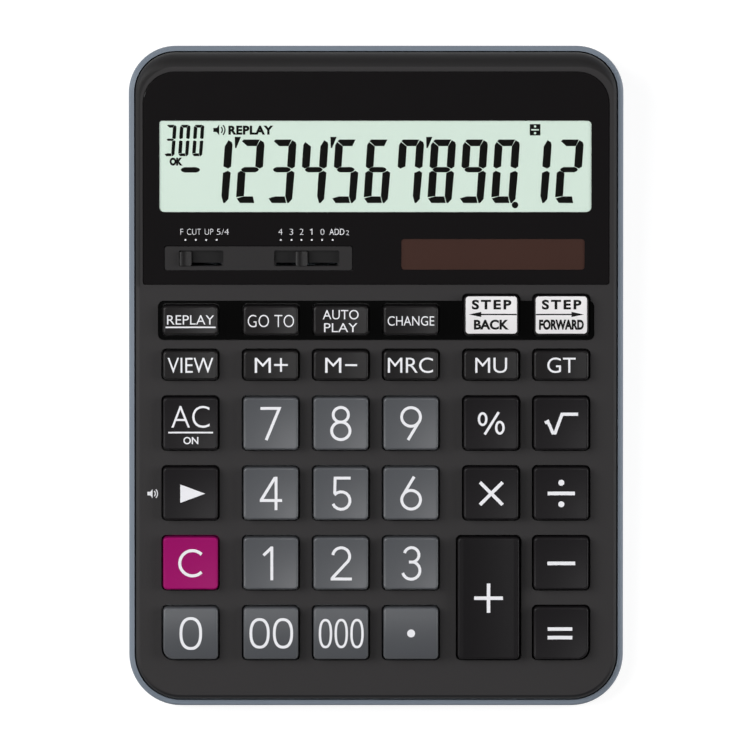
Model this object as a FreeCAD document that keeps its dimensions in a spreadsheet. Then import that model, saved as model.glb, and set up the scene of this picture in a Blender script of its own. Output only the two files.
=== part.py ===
import FreeCAD, Part
import math
import os
import re

import Sketcher
from FreeCAD import Placement, Rotation, Vector

# Desk calculator: a charcoal upper case with 35 push keys, a tilted display
# panel and two slide switches, closed from below by a tray-shaped lower case.
# Millimetres and degrees. X to the right, Y to the rear, Z up. The origin is on
# the desk, under the middle of the case.

SIZES = {
    # case outline, seen from above
    "case_width": 140.0,
    "case_depth": 186.9,
    "front_corner": 14.7,
    "rear_corner": 13.3,
    "rim_width": 1.5,
    "case_gap": 0.4,
    # side profile: the key deck and the steeper display deck meet at the fold
    "fold_y": 24.8,
    "fold_z": 25.8,
    "fold_round": 40.0,
    "key_slope": 5.5,
    "display_slope": 8.0,
    "deck_wall": 2.5,
    "rim_drop": 2.2,
    "rim_rear_start": 80.0,
    "rim_rear_round": 16.0,
    "skirt_drop": 7.0,
    "skirt_wall": 1.8,
    "edge_round": 1.2,
    "shoulder_round": 4.2,
    # lower case
    "foot_height": 1.2,
    "floor_wall": 2.0,
    "base_round": 3.0,
    "rim_round": 0.6,
    # key grid, centres of the keys in plan
    "key_pitch": 19.83,
    "group_pitch": 22.75,
    "third_column": -10.0,
    "sixth_row": -72.79,
    "row_pitch": 19.8,
    "memory_row_step": 16.55,
    "function_row_step": 12.7,
    "white_key_shift": 1.35,
    # keys
    "key_width": 15.75,
    "key_depth": 15.1,
    "low_key_depth": 8.5,
    "white_key_depth": 11.5,
    "plus_width": 17.75,
    "plus_depth": 35.0,
    "plus_shift": -0.73,
    "key_corner": 1.3,
    "outer_key_corner": 3.2,
    "key_clearance": 0.4,
    "key_rise": 2.6,
    "key_edge": 0.5,
    "key_draft": 2.0,
    "dish_radius": 85.0,
    "dish_depth": 0.3,
    "key_shell": 1.5,
    "key_roof": 1.6,
    "flange_overlap": 0.7,
    "flange_wall": 1.0,
    "flange_gap": 0.15,
    "plunger_radius": 2.5,
    # posts, bosses and screws
    "post_radius": 3.0,
    "boss_radius": 3.4,
    "screw_radius": 1.25,
    "pilot_radius": 1.3,
    "pilot_depth": 6.0,
    "head_radius": 2.4,
    "head_height": 1.7,
    "head_clearance": 0.4,
    "boss_web": 2.4,
    "screw_point_gap": 0.5,
    "corner_post_x": 60.8,
    "front_post_y": -85.4,
    "front_boss_z": 7.6,
    "middle_post_x": 63.2,
    "middle_post_y": 30.0,
    "middle_boss_z": 13.0,
    "rear_post_y": 79.0,
    "rear_boss_z": 13.0,
    "side_post_step": 11.5,
    "board_post_radius": 2.0,
    "board_pilot_radius": 0.9,
    "board_screw_bite": 4.0,
    "display_post_front": 9.0,
    "display_post_left": -36.0,
    "display_post_middle": -1.5,
    "display_post_side": 52.5,
    "display_post_rear": 55.0,
    # stack under the key deck, measured down from the deck
    "dome_top": 4.6,
    "mat_top": 7.2,
    "board_top": 8.0,
    "board_wall": 1.2,
    # stack under the display deck, measured down from the deck
    "panel_wall": 1.5,
    "display_board_top": 9.0,
    # display panel, windows and switch deck, in plan
    "panel_width": 131.9,
    "panel_front": 25.9,
    "panel_rear": 85.95,
    "panel_corner": 9.0,
    "panel_front_corner": 0.7,
    "panel_gap": 0.15,
    "panel_edge": 0.25,
    "lcd_window_y": 59.15,
    "lcd_window_width": 122.4,
    "lcd_window_depth": 26.4,
    "solar_x": 33.06,
    "solar_y": 34.36,
    "solar_window_width": 52.0,
    "solar_window_depth": 8.8,
    "window_corner": 1.0,
    "switch_deck_x": -33.33,
    "switch_deck_y": 33.23,
    "switch_deck_width": 53.0,
    "switch_deck_depth": 6.8,
    "switch_deck_corner": 0.7,
    "slot_depth": 4.5,
    "slot_sink": 1.1,
    "slot_corner": 0.5,
    "slit_width": 0.9,
    "detent_pitch": 2.95,
    "rounding_x": -53.95,
    "decimal_x": -21.1,
    "knob_width": 3.4,
    "stem_width": 2.4,
    "knob_clearance": 0.15,
    # black inlay round the first row of keys
    "strip_width": 123.6,
    "strip_depth": 11.3,
    "strip_y": 15.66,
    "strip_corner": 1.7,
    "strip_sink": 1.3,
    "bezel_wall": 0.8,
    # liquid-crystal cell and its locating rib
    "lcd_width": 126.4,
    "lcd_depth": 33.0,
    "lcd_shift": -1.0,
    "lcd_wall": 2.8,
    "lcd_ledge": 3.0,
    "rib_gap": 0.3,
    "rib_wall": 1.0,
    "rib_drop": 5.5,
    # silicone mat and boards
    "mat_margin": 8.4,
    "mat_rear_margin": 5.2,
    "dome_radius": 4.2,
    "dome_taper": 34.0,
    "dome_wall": 0.8,
    "dome_hollow_radius": 3.5,
    "pill_radius": 1.4,
    "pill_drop": 1.0,
    "mat_hole_radius": 2.5,
    "plus_dome_step": 9.0,
    "main_board_width": 130.0,
    "main_board_front": -81.6,
    "main_board_rear": 22.6,
    "display_board_width": 112.0,
    "display_board_front": 31.5,
    "display_board_rear": 83.0,
    "board_corner": 1.5,
    "board_screw_radius": 0.85,
    "board_head_radius": 1.7,
    "board_head_height": 1.1,
    # slide switch knobs
    "knob_depth": 4.1,
    "knob_rise": 0.9,
    "knob_dish_radius": 3.0,
    "knob_dish_over": 0.05,
    "stem_depth": 0.6,
    "stem_root": 0.2,
    "stem_foot": 6.0,
    "barb_depth": 1.6,
    "barb_top": 2.75,
    "barb_drop": 1.0,
    "leaf_wall": 0.2,
    "leaf_depth": 1.0,
    "leaf_reach": 2.0,
    # cells, buzzer and wiring
    "solar_width": 53.6,
    "solar_depth": 11.0,
    "solar_wall": 1.1,
    "cell_x": 34.0,
    "cell_y": 62.0,
    "cell_radius": 5.8,
    "cell_height": 4.2,
    "cell_cap_radius": 4.6,
    "cell_cap_height": 1.2,
    "contact_wall": 0.3,
    "buzzer_x": -34.0,
    "buzzer_y": 58.0,
    "brass_radius": 10.0,
    "ceramic_radius": 7.0,
    "buzzer_wall": 0.25,
    "ring_gap": 0.3,
    "ring_wall": 1.0,
    "ring_height": 1.5,
    "chip_x": -6.0,
    "chip_y": 64.0,
    "chip_sphere": 8.0,
    "chip_latitude": 55.0,
    "cell_contact_width": 4.0,
    "cell_contact_reach": 9.5,
    "cell_contact_gap": 1.5,
    "lcd_ribbon_width": 84.0,
    "lcd_ribbon_fold": 1.8,
    "board_ribbon_width": 26.0,
    "board_ribbon_x": 14.0,
    "board_ribbon_tab": 5.0,
    "board_ribbon_run": 1.0,
    "board_ribbon_sag": 2.2,
    "ribbon_wall": 0.2,
    "lead_radius": 0.45,
    "solar_lead_x": 18.0,
    "buzzer_lead_step": 2.4,
    "buzzer_lead_slack": 6.0,
    # feet and stiffening ribs
    "foot_radius": 5.5,
    "foot_x": 48.0,
    "foot_front_y": -80.0,
    "foot_rear_y": 78.0,
    "foot_sink": 0.8,
    "foot_round": 0.4,
    "floor_rib_width": 1.2,
    "floor_rib_length": 112.0,
    "floor_rib_height": 2.2,
    "floor_rib_step": 34.0,
    "floor_rib_start": -58.0,
}

doc = FreeCAD.newDocument("DeskCalculator")
sheet = doc.addObject("Spreadsheet::Sheet", "Sizes")
for row, (alias, value) in enumerate(SIZES.items(), start=1):
    sheet.set(f"A{row}", alias)
    sheet.set(f"B{row}", str(value))
    sheet.setAlias(f"B{row}", alias)
doc.recompute()


def formula(text):
    """Turn words that name a cell into references to the sheet."""
    def reference(word):
        return "Sizes." + word[0] if word[0] in SIZES else word[0]
    return re.sub(r"[a-z_]+", reference, str(text))


def size(text):
    """The number that a formula over the sheet gives."""
    return float(sheet.evalExpression(formula(text)))


def bind(feature, prop, text):
    feature.setExpression(prop, formula(text))


ACROSS = Vector(1, 0, 0)
ALONG = Vector(0, 1, 0)
UP = Vector(0, 0, 1)
FOLD = Vector(0, size("fold_y"), size("fold_z"))
KEY_DECK = Placement(FOLD, Rotation(ACROSS, size("key_slope")))
DISPLAY_DECK = Placement(FOLD, Rotation(ACROSS, size("display_slope")))
# how far blanks and through cuts reach beyond the pieces
HALF_LENGTH = "96"
THROUGH = "50"
SKY = "70"
THROUGH_DECK = "2*deck_wall"
NEAR = 0.01


def at(across, along, level):
    return Placement(Vector(size(across), size(along), size(level)), Rotation())


def new_body(name):
    body = doc.addObject("PartDesign::Body", name)
    body.Label = name
    return body


def new_sketch(body, name, plane="XY_Plane", frame=None, lift=0.0):
    """A sketch on one of the body's own planes, moved to a frame and lifted along its normal."""
    sketch = body.newObject("Sketcher::SketchObject", name)
    origin_plane = next(item for item in body.Origin.OriginFeatures if item.Role == plane)
    sketch.AttachmentSupport = (origin_plane, [""])
    sketch.MapMode = "FlatFace"
    sketch.AttachmentOffset = (frame or Placement()) * Placement(Vector(0, 0, lift), Rotation())
    return sketch


def constrain(sketch, rules):
    """Add (constraint, formula) pairs; a formula of None leaves the constraint geometric."""
    first = sketch.ConstraintCount
    sketch.addConstraint([rule for rule, _ in rules])
    for index, (_, text) in enumerate(rules, start=first):
        if text is not None:
            bind(sketch, f"Constraints[{index}]", text)


def datum(kind, text, *where):
    return Sketcher.Constraint(kind, *where, size(text)), text


def rounded_rectangle(sketch, across, along, width, depth, corners):
    """A rectangle about (across, along).

    The corner radii run from front left over front right and rear right to rear left.
    """
    left = f"({across}) - ({width})/2"
    right = f"({across}) + ({width})/2"
    front = f"({along}) - ({depth})/2"
    rear = f"({along}) + ({depth})/2"
    x0, x1, y0, y1 = size(left), size(right), size(front), size(rear)
    radii = [size(corner) for corner in corners]
    front_left, front_right, rear_right, rear_left = radii
    turns = [
        (Vector(x1 - front_right, y0 + front_right), front_right, -90),
        (Vector(x1 - rear_right, y1 - rear_right), rear_right, 0),
        (Vector(x0 + rear_left, y1 - rear_left), rear_left, 90),
        (Vector(x0 + front_left, y0 + front_left), front_left, 180),
    ]
    sides = [
        (Vector(x0 + front_left, y0), Vector(x1 - front_right, y0)),
        (Vector(x1, y0 + front_right), Vector(x1, y1 - rear_right)),
        (Vector(x1 - rear_right, y1), Vector(x0 + rear_left, y1)),
        (Vector(x0, y1 - rear_left), Vector(x0, y0 + front_left)),
    ]
    shapes = []
    for (start, end), (centre, radius, angle) in zip(sides, turns):
        shapes.append(Part.LineSegment(start, end))
        circle = Part.Circle(centre, UP, radius)
        shapes.append(Part.ArcOfCircle(circle, math.radians(angle), math.radians(angle + 90)))
    first = len(sketch.Geometry)
    sketch.addGeometry(shapes)
    rules = [(Sketcher.Constraint("Tangent", first + i, 2, first + (i + 1) % 8, 1), None) for i in range(8)]
    rules += [(Sketcher.Constraint("Horizontal", first + i), None) for i in (0, 4)]
    rules += [(Sketcher.Constraint("Vertical", first + i), None) for i in (2, 6)]
    order = [corners[1], corners[2], corners[3], corners[0]]
    rules += [datum("Radius", text, first + 2 * i + 1) for i, text in enumerate(order)]
    rules.append(datum("DistanceX", left, -1, 1, first + 6, 1))
    rules.append(datum("DistanceX", right, -1, 1, first + 2, 1))
    rules.append(datum("DistanceY", front, -1, 1, first, 1))
    rules.append(datum("DistanceY", rear, -1, 1, first + 4, 1))
    constrain(sketch, rules)


def pad(body, sketch, length, reverse=False, both=False, taper=None):
    feature = body.newObject("PartDesign::Pad", sketch.Name + "_pad")
    return extrude(feature, sketch, length, reverse, both, taper)


def pocket(body, sketch, length, reverse=False, both=False, taper=None):
    feature = body.newObject("PartDesign::Pocket", sketch.Name + "_cut")
    return extrude(feature, sketch, length, reverse, both, taper)


def extrude(feature, sketch, length, reverse, both, taper):
    feature.Profile = sketch
    feature.SideType = "Symmetric" if both else "One side"
    feature.Reversed = reverse
    bind(feature, "Length", length)
    if taper is not None:
        bind(feature, "TaperAngle", taper)
    sketch.Visibility = False
    return feature


def slope_cut(body, name, drop, rear_round=False):
    """Cut away what lies above the deck line lowered by drop."""
    sketch = new_sketch(body, name, "YZ_Plane")
    far = size(HALF_LENGTH)
    sky = size(SKY)
    key_angle = math.radians(size("key_slope"))
    display_angle = math.radians(size("display_slope"))
    radius = size("fold_round")
    fold = Vector(size("fold_y"), size(f"fold_z - ({drop})"))
    key_line = Vector(math.cos(key_angle), math.sin(key_angle))
    display_line = Vector(math.cos(display_angle), math.sin(display_angle))
    reach = radius * math.tan((display_angle - key_angle) / 2)
    bend_start = fold - key_line * reach
    bend_end = fold + display_line * reach
    centre = bend_start + Vector(-key_line.y, key_line.x) * radius
    quarter = math.pi / 2
    bend = Part.Circle(centre, UP, radius)
    front = bend_start - key_line * ((bend_start.x + far) / key_line.x)
    turn = size("rim_rear_start") if rear_round else far
    rear = bend_end + display_line * ((turn - bend_end.x) / display_line.x)
    shapes = [
        Part.LineSegment(front, bend_start),
        Part.ArcOfCircle(bend, key_angle - quarter, display_angle - quarter),
        Part.LineSegment(bend_end, rear),
    ]
    rules = [
        (Sketcher.Constraint("Tangent", 0, 2, 1, 1), None),
        (Sketcher.Constraint("Tangent", 1, 2, 2, 1), None),
        datum("Radius", "fold_round", 1),
    ]
    last, last_end = 2, 2
    if rear_round:
        rear_radius = size("rim_rear_round")
        rear_centre = rear + Vector(display_line.y, -display_line.x) * rear_radius
        end_angle = math.acos((far - rear_centre.x) / rear_radius)
        rear_circle = Part.Circle(rear_centre, UP, rear_radius)
        rear_arc = Part.ArcOfCircle(rear_circle, end_angle, display_angle + quarter)
        shapes.append(rear_arc)
        rules.append((Sketcher.Constraint("Tangent", 2, 2, 3, 2), None))
        rules.append(datum("Radius", "rim_rear_round", 3))
        rules.append(datum("DistanceX", "rim_rear_start", -1, 1, 2, 2))
        last, last_end = 3, 1
        rear = rear_arc.StartPoint
    side = len(shapes)
    shapes += [
        Part.LineSegment(rear, Vector(far, sky)),
        Part.LineSegment(Vector(far, sky), Vector(-far, sky)),
        Part.LineSegment(Vector(-far, sky), front),
    ]
    sketch.addGeometry(shapes)
    fold_point = sketch.addGeometry(Part.Point(fold), True)
    rules += [
        (Sketcher.Constraint("Coincident", last, last_end, side, 1), None),
        (Sketcher.Constraint("Coincident", side, 2, side + 1, 1), None),
        (Sketcher.Constraint("Coincident", side + 1, 2, side + 2, 1), None),
        (Sketcher.Constraint("Coincident", side + 2, 2, 0, 1), None),
        (Sketcher.Constraint("Vertical", side), None),
        (Sketcher.Constraint("Horizontal", side + 1), None),
        (Sketcher.Constraint("Vertical", side + 2), None),
        (Sketcher.Constraint("PointOnObject", fold_point, 1, 0), None),
        (Sketcher.Constraint("PointOnObject", fold_point, 1, 2), None),
        (Sketcher.Constraint("Angle", 0, key_angle), "key_slope * 1 deg"),
        (Sketcher.Constraint("Angle", 2, display_angle), "display_slope * 1 deg"),
        datum("DistanceX", "fold_y", -1, 1, fold_point, 1),
        datum("DistanceY", f"fold_z - ({drop})", -1, 1, fold_point, 1),
        datum("DistanceX", "-" + HALF_LENGTH, -1, 1, 0, 1),
        datum("DistanceX", HALF_LENGTH, -1, 1, side, 2),
        datum("DistanceY", SKY, -1, 1, side + 1, 1),
    ]
    constrain(sketch, rules)
    return pocket(body, sketch, "2*case_width", both=True)


def case_outline(body, name, lift, *insets):
    """The case seen from above, drawn in by each inset, with rounder corners at the front."""
    sketch = new_sketch(body, name, lift=size(lift))
    for inset in insets:
        front = f"front_corner - ({inset})"
        rear = f"rear_corner - ({inset})"
        width = f"case_width - 2*({inset})"
        depth = f"case_depth - 2*({inset})"
        rounded_rectangle(sketch, "0", "0", width, depth, [front, front, rear, rear])
    return sketch


def on_outline(edge):
    """Edges that run round the top of a case blank, not up its walls or along the fold."""
    middle = edge.CenterOfMass
    across_the_deck = abs(middle.x) < NEAR and abs(middle.y) < size("case_depth/2 - rear_corner")
    start, end = edge.Vertexes[0].Point, edge.Vertexes[-1].Point
    up_the_wall = math.hypot(end.x - start.x, end.y - start.y) < NEAR
    return middle.z > size("foot_height + floor_wall") and not across_the_deck and not up_the_wall


INSET = "rim_width + case_gap"
SKIRT_INSET = f"{INSET} + skirt_wall"
COLUMNS = [
    "third_column - key_pitch - group_pitch",
    "third_column - key_pitch",
    "third_column",
    "third_column + key_pitch",
    "third_column + key_pitch + group_pitch",
    "third_column + 2*key_pitch + group_pitch",
]
THIRD_ROW = "sixth_row + 3*row_pitch"
ROWS = [
    f"{THIRD_ROW} + memory_row_step + function_row_step",
    f"{THIRD_ROW} + memory_row_step",
    THIRD_ROW,
    "sixth_row + 2*row_pitch",
    "sixth_row + row_pitch",
    "sixth_row",
]
WHITE_ROW = f"{ROWS[0]} + white_key_shift"
TALL_ROW = "sixth_row + row_pitch/2"


def up_key_deck(plan_y):
    """Distance from the fold, along the key deck, of a line at plan_y."""
    return f"(({plan_y}) - fold_y)/cos(key_slope)"


def up_display_deck(plan_y):
    return f"(({plan_y}) - fold_y)/cos(display_slope)"


PLAIN = ["key_corner"] * 4
KEY_FORMS = {
    "main": ("key_width", "key_depth", PLAIN),
    "front_left": ("key_width", "key_depth", ["outer_key_corner"] + PLAIN[1:]),
    "front_right": ("key_width", "key_depth", [PLAIN[0], "outer_key_corner"] + PLAIN[2:]),
    "low": ("key_width", "low_key_depth", PLAIN),
    "white": ("key_width", "white_key_depth", PLAIN),
    "tall": ("plus_width", "plus_depth", PLAIN),
}
KEY_ROWS = [
    ["replay", "go_to", "auto_play", "correct", "step_back", "step_forward"],
    ["display", "m_plus", "m_minus", "m_recall", "mark_up", "grand_total"],
    ["all_clear", "7", "8", "9", "percent", "root"],
    ["backspace", "4", "5", "6", "times", "divide"],
    ["clear", "1", "2", "3", "plus", "minus"],
    ["0", "00", "000", "point", None, "equals"],
]
SPECIAL_FORMS = {
    "step_back": "white",
    "step_forward": "white",
    "plus": "tall",
    "0": "front_left",
    "equals": "front_right",
}


def key_places():
    """Each key's name, row, form and centre as formulas along the key deck."""
    for row, names in enumerate(KEY_ROWS):
        for column, name in enumerate(names):
            if name is None:
                continue
            form = SPECIAL_FORMS.get(name, "low" if row < 2 else "main")
            plan_y = {"white": WHITE_ROW, "tall": TALL_ROW}.get(form, ROWS[row])
            across = COLUMNS[column] + (" + plus_shift" if form == "tall" else "")
            yield "key_" + name, row, form, across, up_key_deck(plan_y)


KEYS = list(key_places())


def add_circles(sketch, places, radius):
    """Circles of one radius; places are (across, along) formulas, none of them on an axis."""
    first = len(sketch.Geometry)
    shapes = []
    rules = []
    for index, (across, along) in enumerate(places, start=first):
        centre = Vector(size(across), size(along))
        shapes.append(Part.Circle(centre, UP, size(radius)))
        rules.append(datum("Radius", radius, index))
        rules.append(datum("DistanceX", across, -1, 1, index, 3))
        rules.append(datum("DistanceY", along, -1, 1, index, 3))
    sketch.addGeometry(shapes)
    constrain(sketch, rules)


def mirrored(across, along):
    return [(across, along), (f"-({across})", along)]


CASE_POSTS = {
    "front": (mirrored("corner_post_x", "front_post_y"), "front_boss_z"),
    "middle": (mirrored("middle_post_x", "middle_post_y"), "middle_boss_z"),
    "rear": (mirrored("corner_post_x", "rear_post_y"), "rear_boss_z"),
}
LEFT_GAP = f"({COLUMNS[0]} + {COLUMNS[1]})/2"
RIGHT_GAP = f"({COLUMNS[3]} + {COLUMNS[4]})/2"
SIDE_GAP = f"{COLUMNS[5]} + side_post_step"
MAIN_BOARD_POSTS = [
    (LEFT_GAP, up_key_deck(f"({ROWS[1]} + {ROWS[2]})/2")),
    (LEFT_GAP, up_key_deck(f"({ROWS[3]} + {ROWS[4]})/2")),
    (LEFT_GAP, up_key_deck(ROWS[5])),
    (RIGHT_GAP, up_key_deck(f"({ROWS[1]} + {ROWS[2]})/2")),
    (RIGHT_GAP, up_key_deck(ROWS[3])),
    (SIDE_GAP, up_key_deck(TALL_ROW)),
]
DISPLAY_BOARD_POSTS = [
    ("display_post_left", "display_post_front"),
    ("display_post_middle", "display_post_front"),
] + mirrored("display_post_side", "display_post_rear")
FOOT_PLACES = mirrored("foot_x", "foot_front_y") + mirrored("foot_x", "foot_rear_y")
FLOOR_RIBS = 4
LCD_V = f"{up_display_deck('lcd_window_y')} + lcd_shift"


def make_upper_blank():
    """The upper case as a solid block: outline, deck slopes and the rounded top edge."""
    body = new_body("upper_blank")
    pad(body, case_outline(body, "upper_outline", "0", INSET), THROUGH)
    slope_cut(body, "deck_line", "0")
    doc.recompute()
    side, rear = size("edge_round"), size("shoulder_round")
    rounding = []
    for number, edge in enumerate(body.Shape.Edges, start=1):
        if not on_outline(edge):
            continue
        ends = [edge.Vertexes[0].Point.y, edge.Vertexes[-1].Point.y]
        radii = [rear if end > size(f"case_depth/2 - ({INSET})") - NEAR else side for end in ends]
        rounding.append((number, *radii))
    rounded = doc.addObject("Part::Fillet", "upper_rounded")
    rounded.Base = body
    rounded.Edges = rounding
    return rounded


def make_upper_cavity():
    """The hollow of the upper case, pierced where its posts and the rib round the display stand."""
    body = new_body("upper_cavity")
    pad(body, case_outline(body, "cavity_outline", "0", SKIRT_INSET), THROUGH)
    slope_cut(body, "ceiling_line", "deck_wall")
    for name, (places, height) in CASE_POSTS.items():
        sketch = new_sketch(body, f"{name}_posts", lift=size(height))
        add_circles(sketch, places, "post_radius")
        pocket(body, sketch, THROUGH, reverse=True)
    sketch = new_sketch(body, "main_board_posts", frame=KEY_DECK, lift=-size("board_top"))
    add_circles(sketch, MAIN_BOARD_POSTS, "board_post_radius")
    pocket(body, sketch, THROUGH, reverse=True)
    sketch = new_sketch(body, "display_board_posts", frame=DISPLAY_DECK, lift=-size("display_board_top"))
    add_circles(sketch, DISPLAY_BOARD_POSTS, "board_post_radius")
    pocket(body, sketch, THROUGH, reverse=True)
    sketch = new_sketch(body, "lcd_rib", frame=DISPLAY_DECK, lift=-size("rib_drop"))
    for margin in ("rib_gap", "rib_gap + rib_wall"):
        width = f"lcd_width + 2*({margin})"
        depth = f"lcd_depth + 2*({margin})"
        rounded_rectangle(sketch, "0", LCD_V, width, depth, ["window_corner"] * 4)
    pocket(body, sketch, THROUGH, reverse=True)
    return body


def make_skirt_trim():
    """A ring that trims the skirt parallel to the deck."""
    body = new_body("skirt_trim")
    pad(body, case_outline(body, "skirt_ring", "0", "rim_width", SKIRT_INSET), THROUGH)
    slope_cut(body, "skirt_line", "skirt_drop")
    return body


def subtract(body, tool):
    feature = body.newObject("PartDesign::Boolean", f"less_{tool.Name}")
    feature.Type = "Cut"
    feature.setObjects([tool])
    return feature


def cut_key_apertures(body, name, row, deep, frame=KEY_DECK):
    """Openings for one row of keys, a clearance larger than the keys all round."""
    sketch = new_sketch(body, f"{name}_{row + 1}", frame=frame)
    for _, key_row, form, across, along in KEYS:
        if key_row != row:
            continue
        width, depth, corners = KEY_FORMS[form]
        rounded_rectangle(sketch, across, along, f"{width} + 2*key_clearance", f"{depth} + 2*key_clearance",
                          [f"{corner} + key_clearance/2" for corner in corners])
    return pocket(body, sketch, deep)


SWITCHES = {
    # knob centre, then detents to the left and to the right of it
    "rounding": ("rounding_x", 0, 3),
    "decimal": ("decimal_x", 2, 3),
}


def switch_span(name, piece):
    """Centre and length of the space in which a piece of a slide switch moves."""
    centre, left, right = SWITCHES[name]
    middle = f"{centre} + detent_pitch*{(right - left) / 2}"
    return middle, f"{piece} + 2*knob_clearance + detent_pitch*{left + right}"


def make_upper_case():
    """Charcoal moulding: key deck, display recess, switch deck, posts and skirt."""
    body = new_body("upper_case")
    body.BaseFeature = make_upper_blank()
    doc.recompute()
    subtract(body, make_upper_cavity())
    subtract(body, make_skirt_trim())

    sketch = new_sketch(body, "panel_recess", frame=DISPLAY_DECK)
    panel_outline(sketch, "panel_gap")
    switch_deck_outline(sketch, "0")
    pocket(body, sketch, "panel_wall")

    sketch = new_sketch(body, "windows", frame=DISPLAY_DECK)
    window_outlines(sketch)
    pocket(body, sketch, THROUGH_DECK)

    sketch = new_sketch(body, "switch_slots", frame=DISPLAY_DECK)
    slits = new_sketch(body, "switch_slits", frame=DISPLAY_DECK)
    slot_y = up_display_deck("switch_deck_y")
    slit_y = f"{slot_y} - slot_depth/2 + slit_width/2"
    for name in SWITCHES:
        middle, length = switch_span(name, "knob_width")
        rounded_rectangle(sketch, middle, slot_y, length, "slot_depth", ["slot_corner"] * 4)
        middle, length = switch_span(name, "stem_width")
        rounded_rectangle(slits, middle, slit_y, length, "slit_width", ["slit_width/4"] * 4)
    pocket(body, sketch, "slot_sink")
    pocket(body, slits, THROUGH_DECK)

    sketch = new_sketch(body, "function_strip", frame=KEY_DECK)
    strip_y = up_key_deck("strip_y")
    rounded_rectangle(sketch, "0", strip_y, "strip_width", "strip_depth", ["strip_corner"] * 4)
    pocket(body, sketch, "strip_sink")
    for row in range(len(KEY_ROWS)):
        cut_key_apertures(body, "apertures", row, THROUGH_DECK)

    for name, (places, height) in CASE_POSTS.items():
        sketch = new_sketch(body, f"{name}_pilots", lift=size(height))
        add_circles(sketch, places, "pilot_radius")
        pocket(body, sketch, "pilot_depth", reverse=True)
    sketch = new_sketch(body, "main_board_pilots", frame=KEY_DECK, lift=-size("board_top"))
    add_circles(sketch, MAIN_BOARD_POSTS, "board_pilot_radius")
    pocket(body, sketch, "board_screw_bite", reverse=True)
    sketch = new_sketch(body, "display_board_pilots", frame=DISPLAY_DECK, lift=-size("display_board_top"))
    add_circles(sketch, DISPLAY_BOARD_POSTS, "board_pilot_radius")
    pocket(body, sketch, "board_screw_bite", reverse=True)
    return body


def panel_outline(sketch, margin):
    rear = up_display_deck("panel_rear")
    front = up_display_deck("panel_front")
    corners = ["panel_front_corner"] * 2 + [f"panel_corner + {margin}"] * 2
    rounded_rectangle(sketch, "0", f"({rear} + {front})/2", f"panel_width + 2*{margin}",
                      f"{rear} - {front} + 2*{margin}", corners)


def switch_deck_outline(sketch, margin):
    width = f"switch_deck_width + 2*{margin}"
    depth = f"switch_deck_depth + 2*{margin}"
    along = up_display_deck("switch_deck_y")
    rounded_rectangle(sketch, "switch_deck_x", along, width, depth, ["switch_deck_corner"] * 4)


def window_outlines(sketch):
    corners = ["window_corner"] * 4
    lcd_y = up_display_deck("lcd_window_y")
    rounded_rectangle(sketch, "0", lcd_y, "lcd_window_width", "lcd_window_depth", corners)
    solar_y = up_display_deck("solar_y")
    rounded_rectangle(sketch, "solar_x", solar_y, "solar_window_width", "solar_window_depth", corners)


def make_key(name, form, across, along):
    """A hollow moulded key: drafted cap with a dished top, retaining flange and plunger."""
    width, depth, corners = KEY_FORMS[form]
    body = new_body(name)
    skirt = "deck_wall + flange_gap"

    sketch = new_sketch(body, name + "_cap", lift=-size(skirt))
    rounded_rectangle(sketch, "0", "0", width, depth, corners)
    pad(body, sketch, f"key_rise + {skirt}", taper="-key_draft")

    sketch = new_sketch(body, name + "_dish", "XZ_Plane")
    add_dish(sketch, "dish_radius", "key_rise - dish_depth", "2*key_rise")
    pocket(body, sketch, "2*plus_depth", both=True)
    doc.recompute()
    round_edges(body, name + "_edge", "key_edge", dish_edges(body.Shape, size("dish_radius")))

    sketch = new_sketch(body, name + "_flange", lift=-size(f"{skirt} + flange_wall"))
    lip = "2*(key_clearance + flange_overlap)"
    rounded_rectangle(sketch, "0", "0", f"{width} + {lip}", f"{depth} + {lip}", ["key_corner"] * 4)
    pad(body, sketch, "flange_wall")

    roof = "key_rise - dish_depth - key_roof"
    sketch = new_sketch(body, name + "_hollow", lift=-size(f"{skirt} + flange_wall"))
    inside = [f"{side} - 2*key_shell" for side in (width, depth)]
    rounded_rectangle(sketch, "0", "0", *inside, ["key_corner/2"] * 4)
    pocket(body, sketch, f"{roof} + {skirt} + flange_wall", reverse=True)

    sketch = new_sketch(body, name + "_plunger", lift=-size("dome_top"))
    for offset in dome_offsets(form):
        add_centred_circle(sketch, "plunger_radius", offset)
    pad(body, sketch, f"{roof} + dome_top + key_roof/2")
    body.Placement = KEY_DECK * at(across, along, "0")
    return body


def dome_offsets(form):
    """Where a key's plungers stand, along the deck from its centre: the tall key has two."""
    return ["plus_dome_step", "-plus_dome_step"] if form == "tall" else [None]


def add_centred_circle(sketch, radius, offset=None):
    """A circle at the sketch's origin, or on its upright axis at an offset."""
    centre = ALONG * size(offset) if offset else Vector()
    circle = sketch.addGeometry(Part.Circle(centre, UP, size(radius)))
    rules = [datum("Radius", radius, circle)]
    if offset:
        rules.append((Sketcher.Constraint("PointOnObject", circle, 3, -2), None))
        rules.append(datum("DistanceY", offset, -1, 1, circle, 3))
    else:
        rules.append((Sketcher.Constraint("Coincident", circle, 3, -1, 1), None))
    constrain(sketch, rules)


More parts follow.
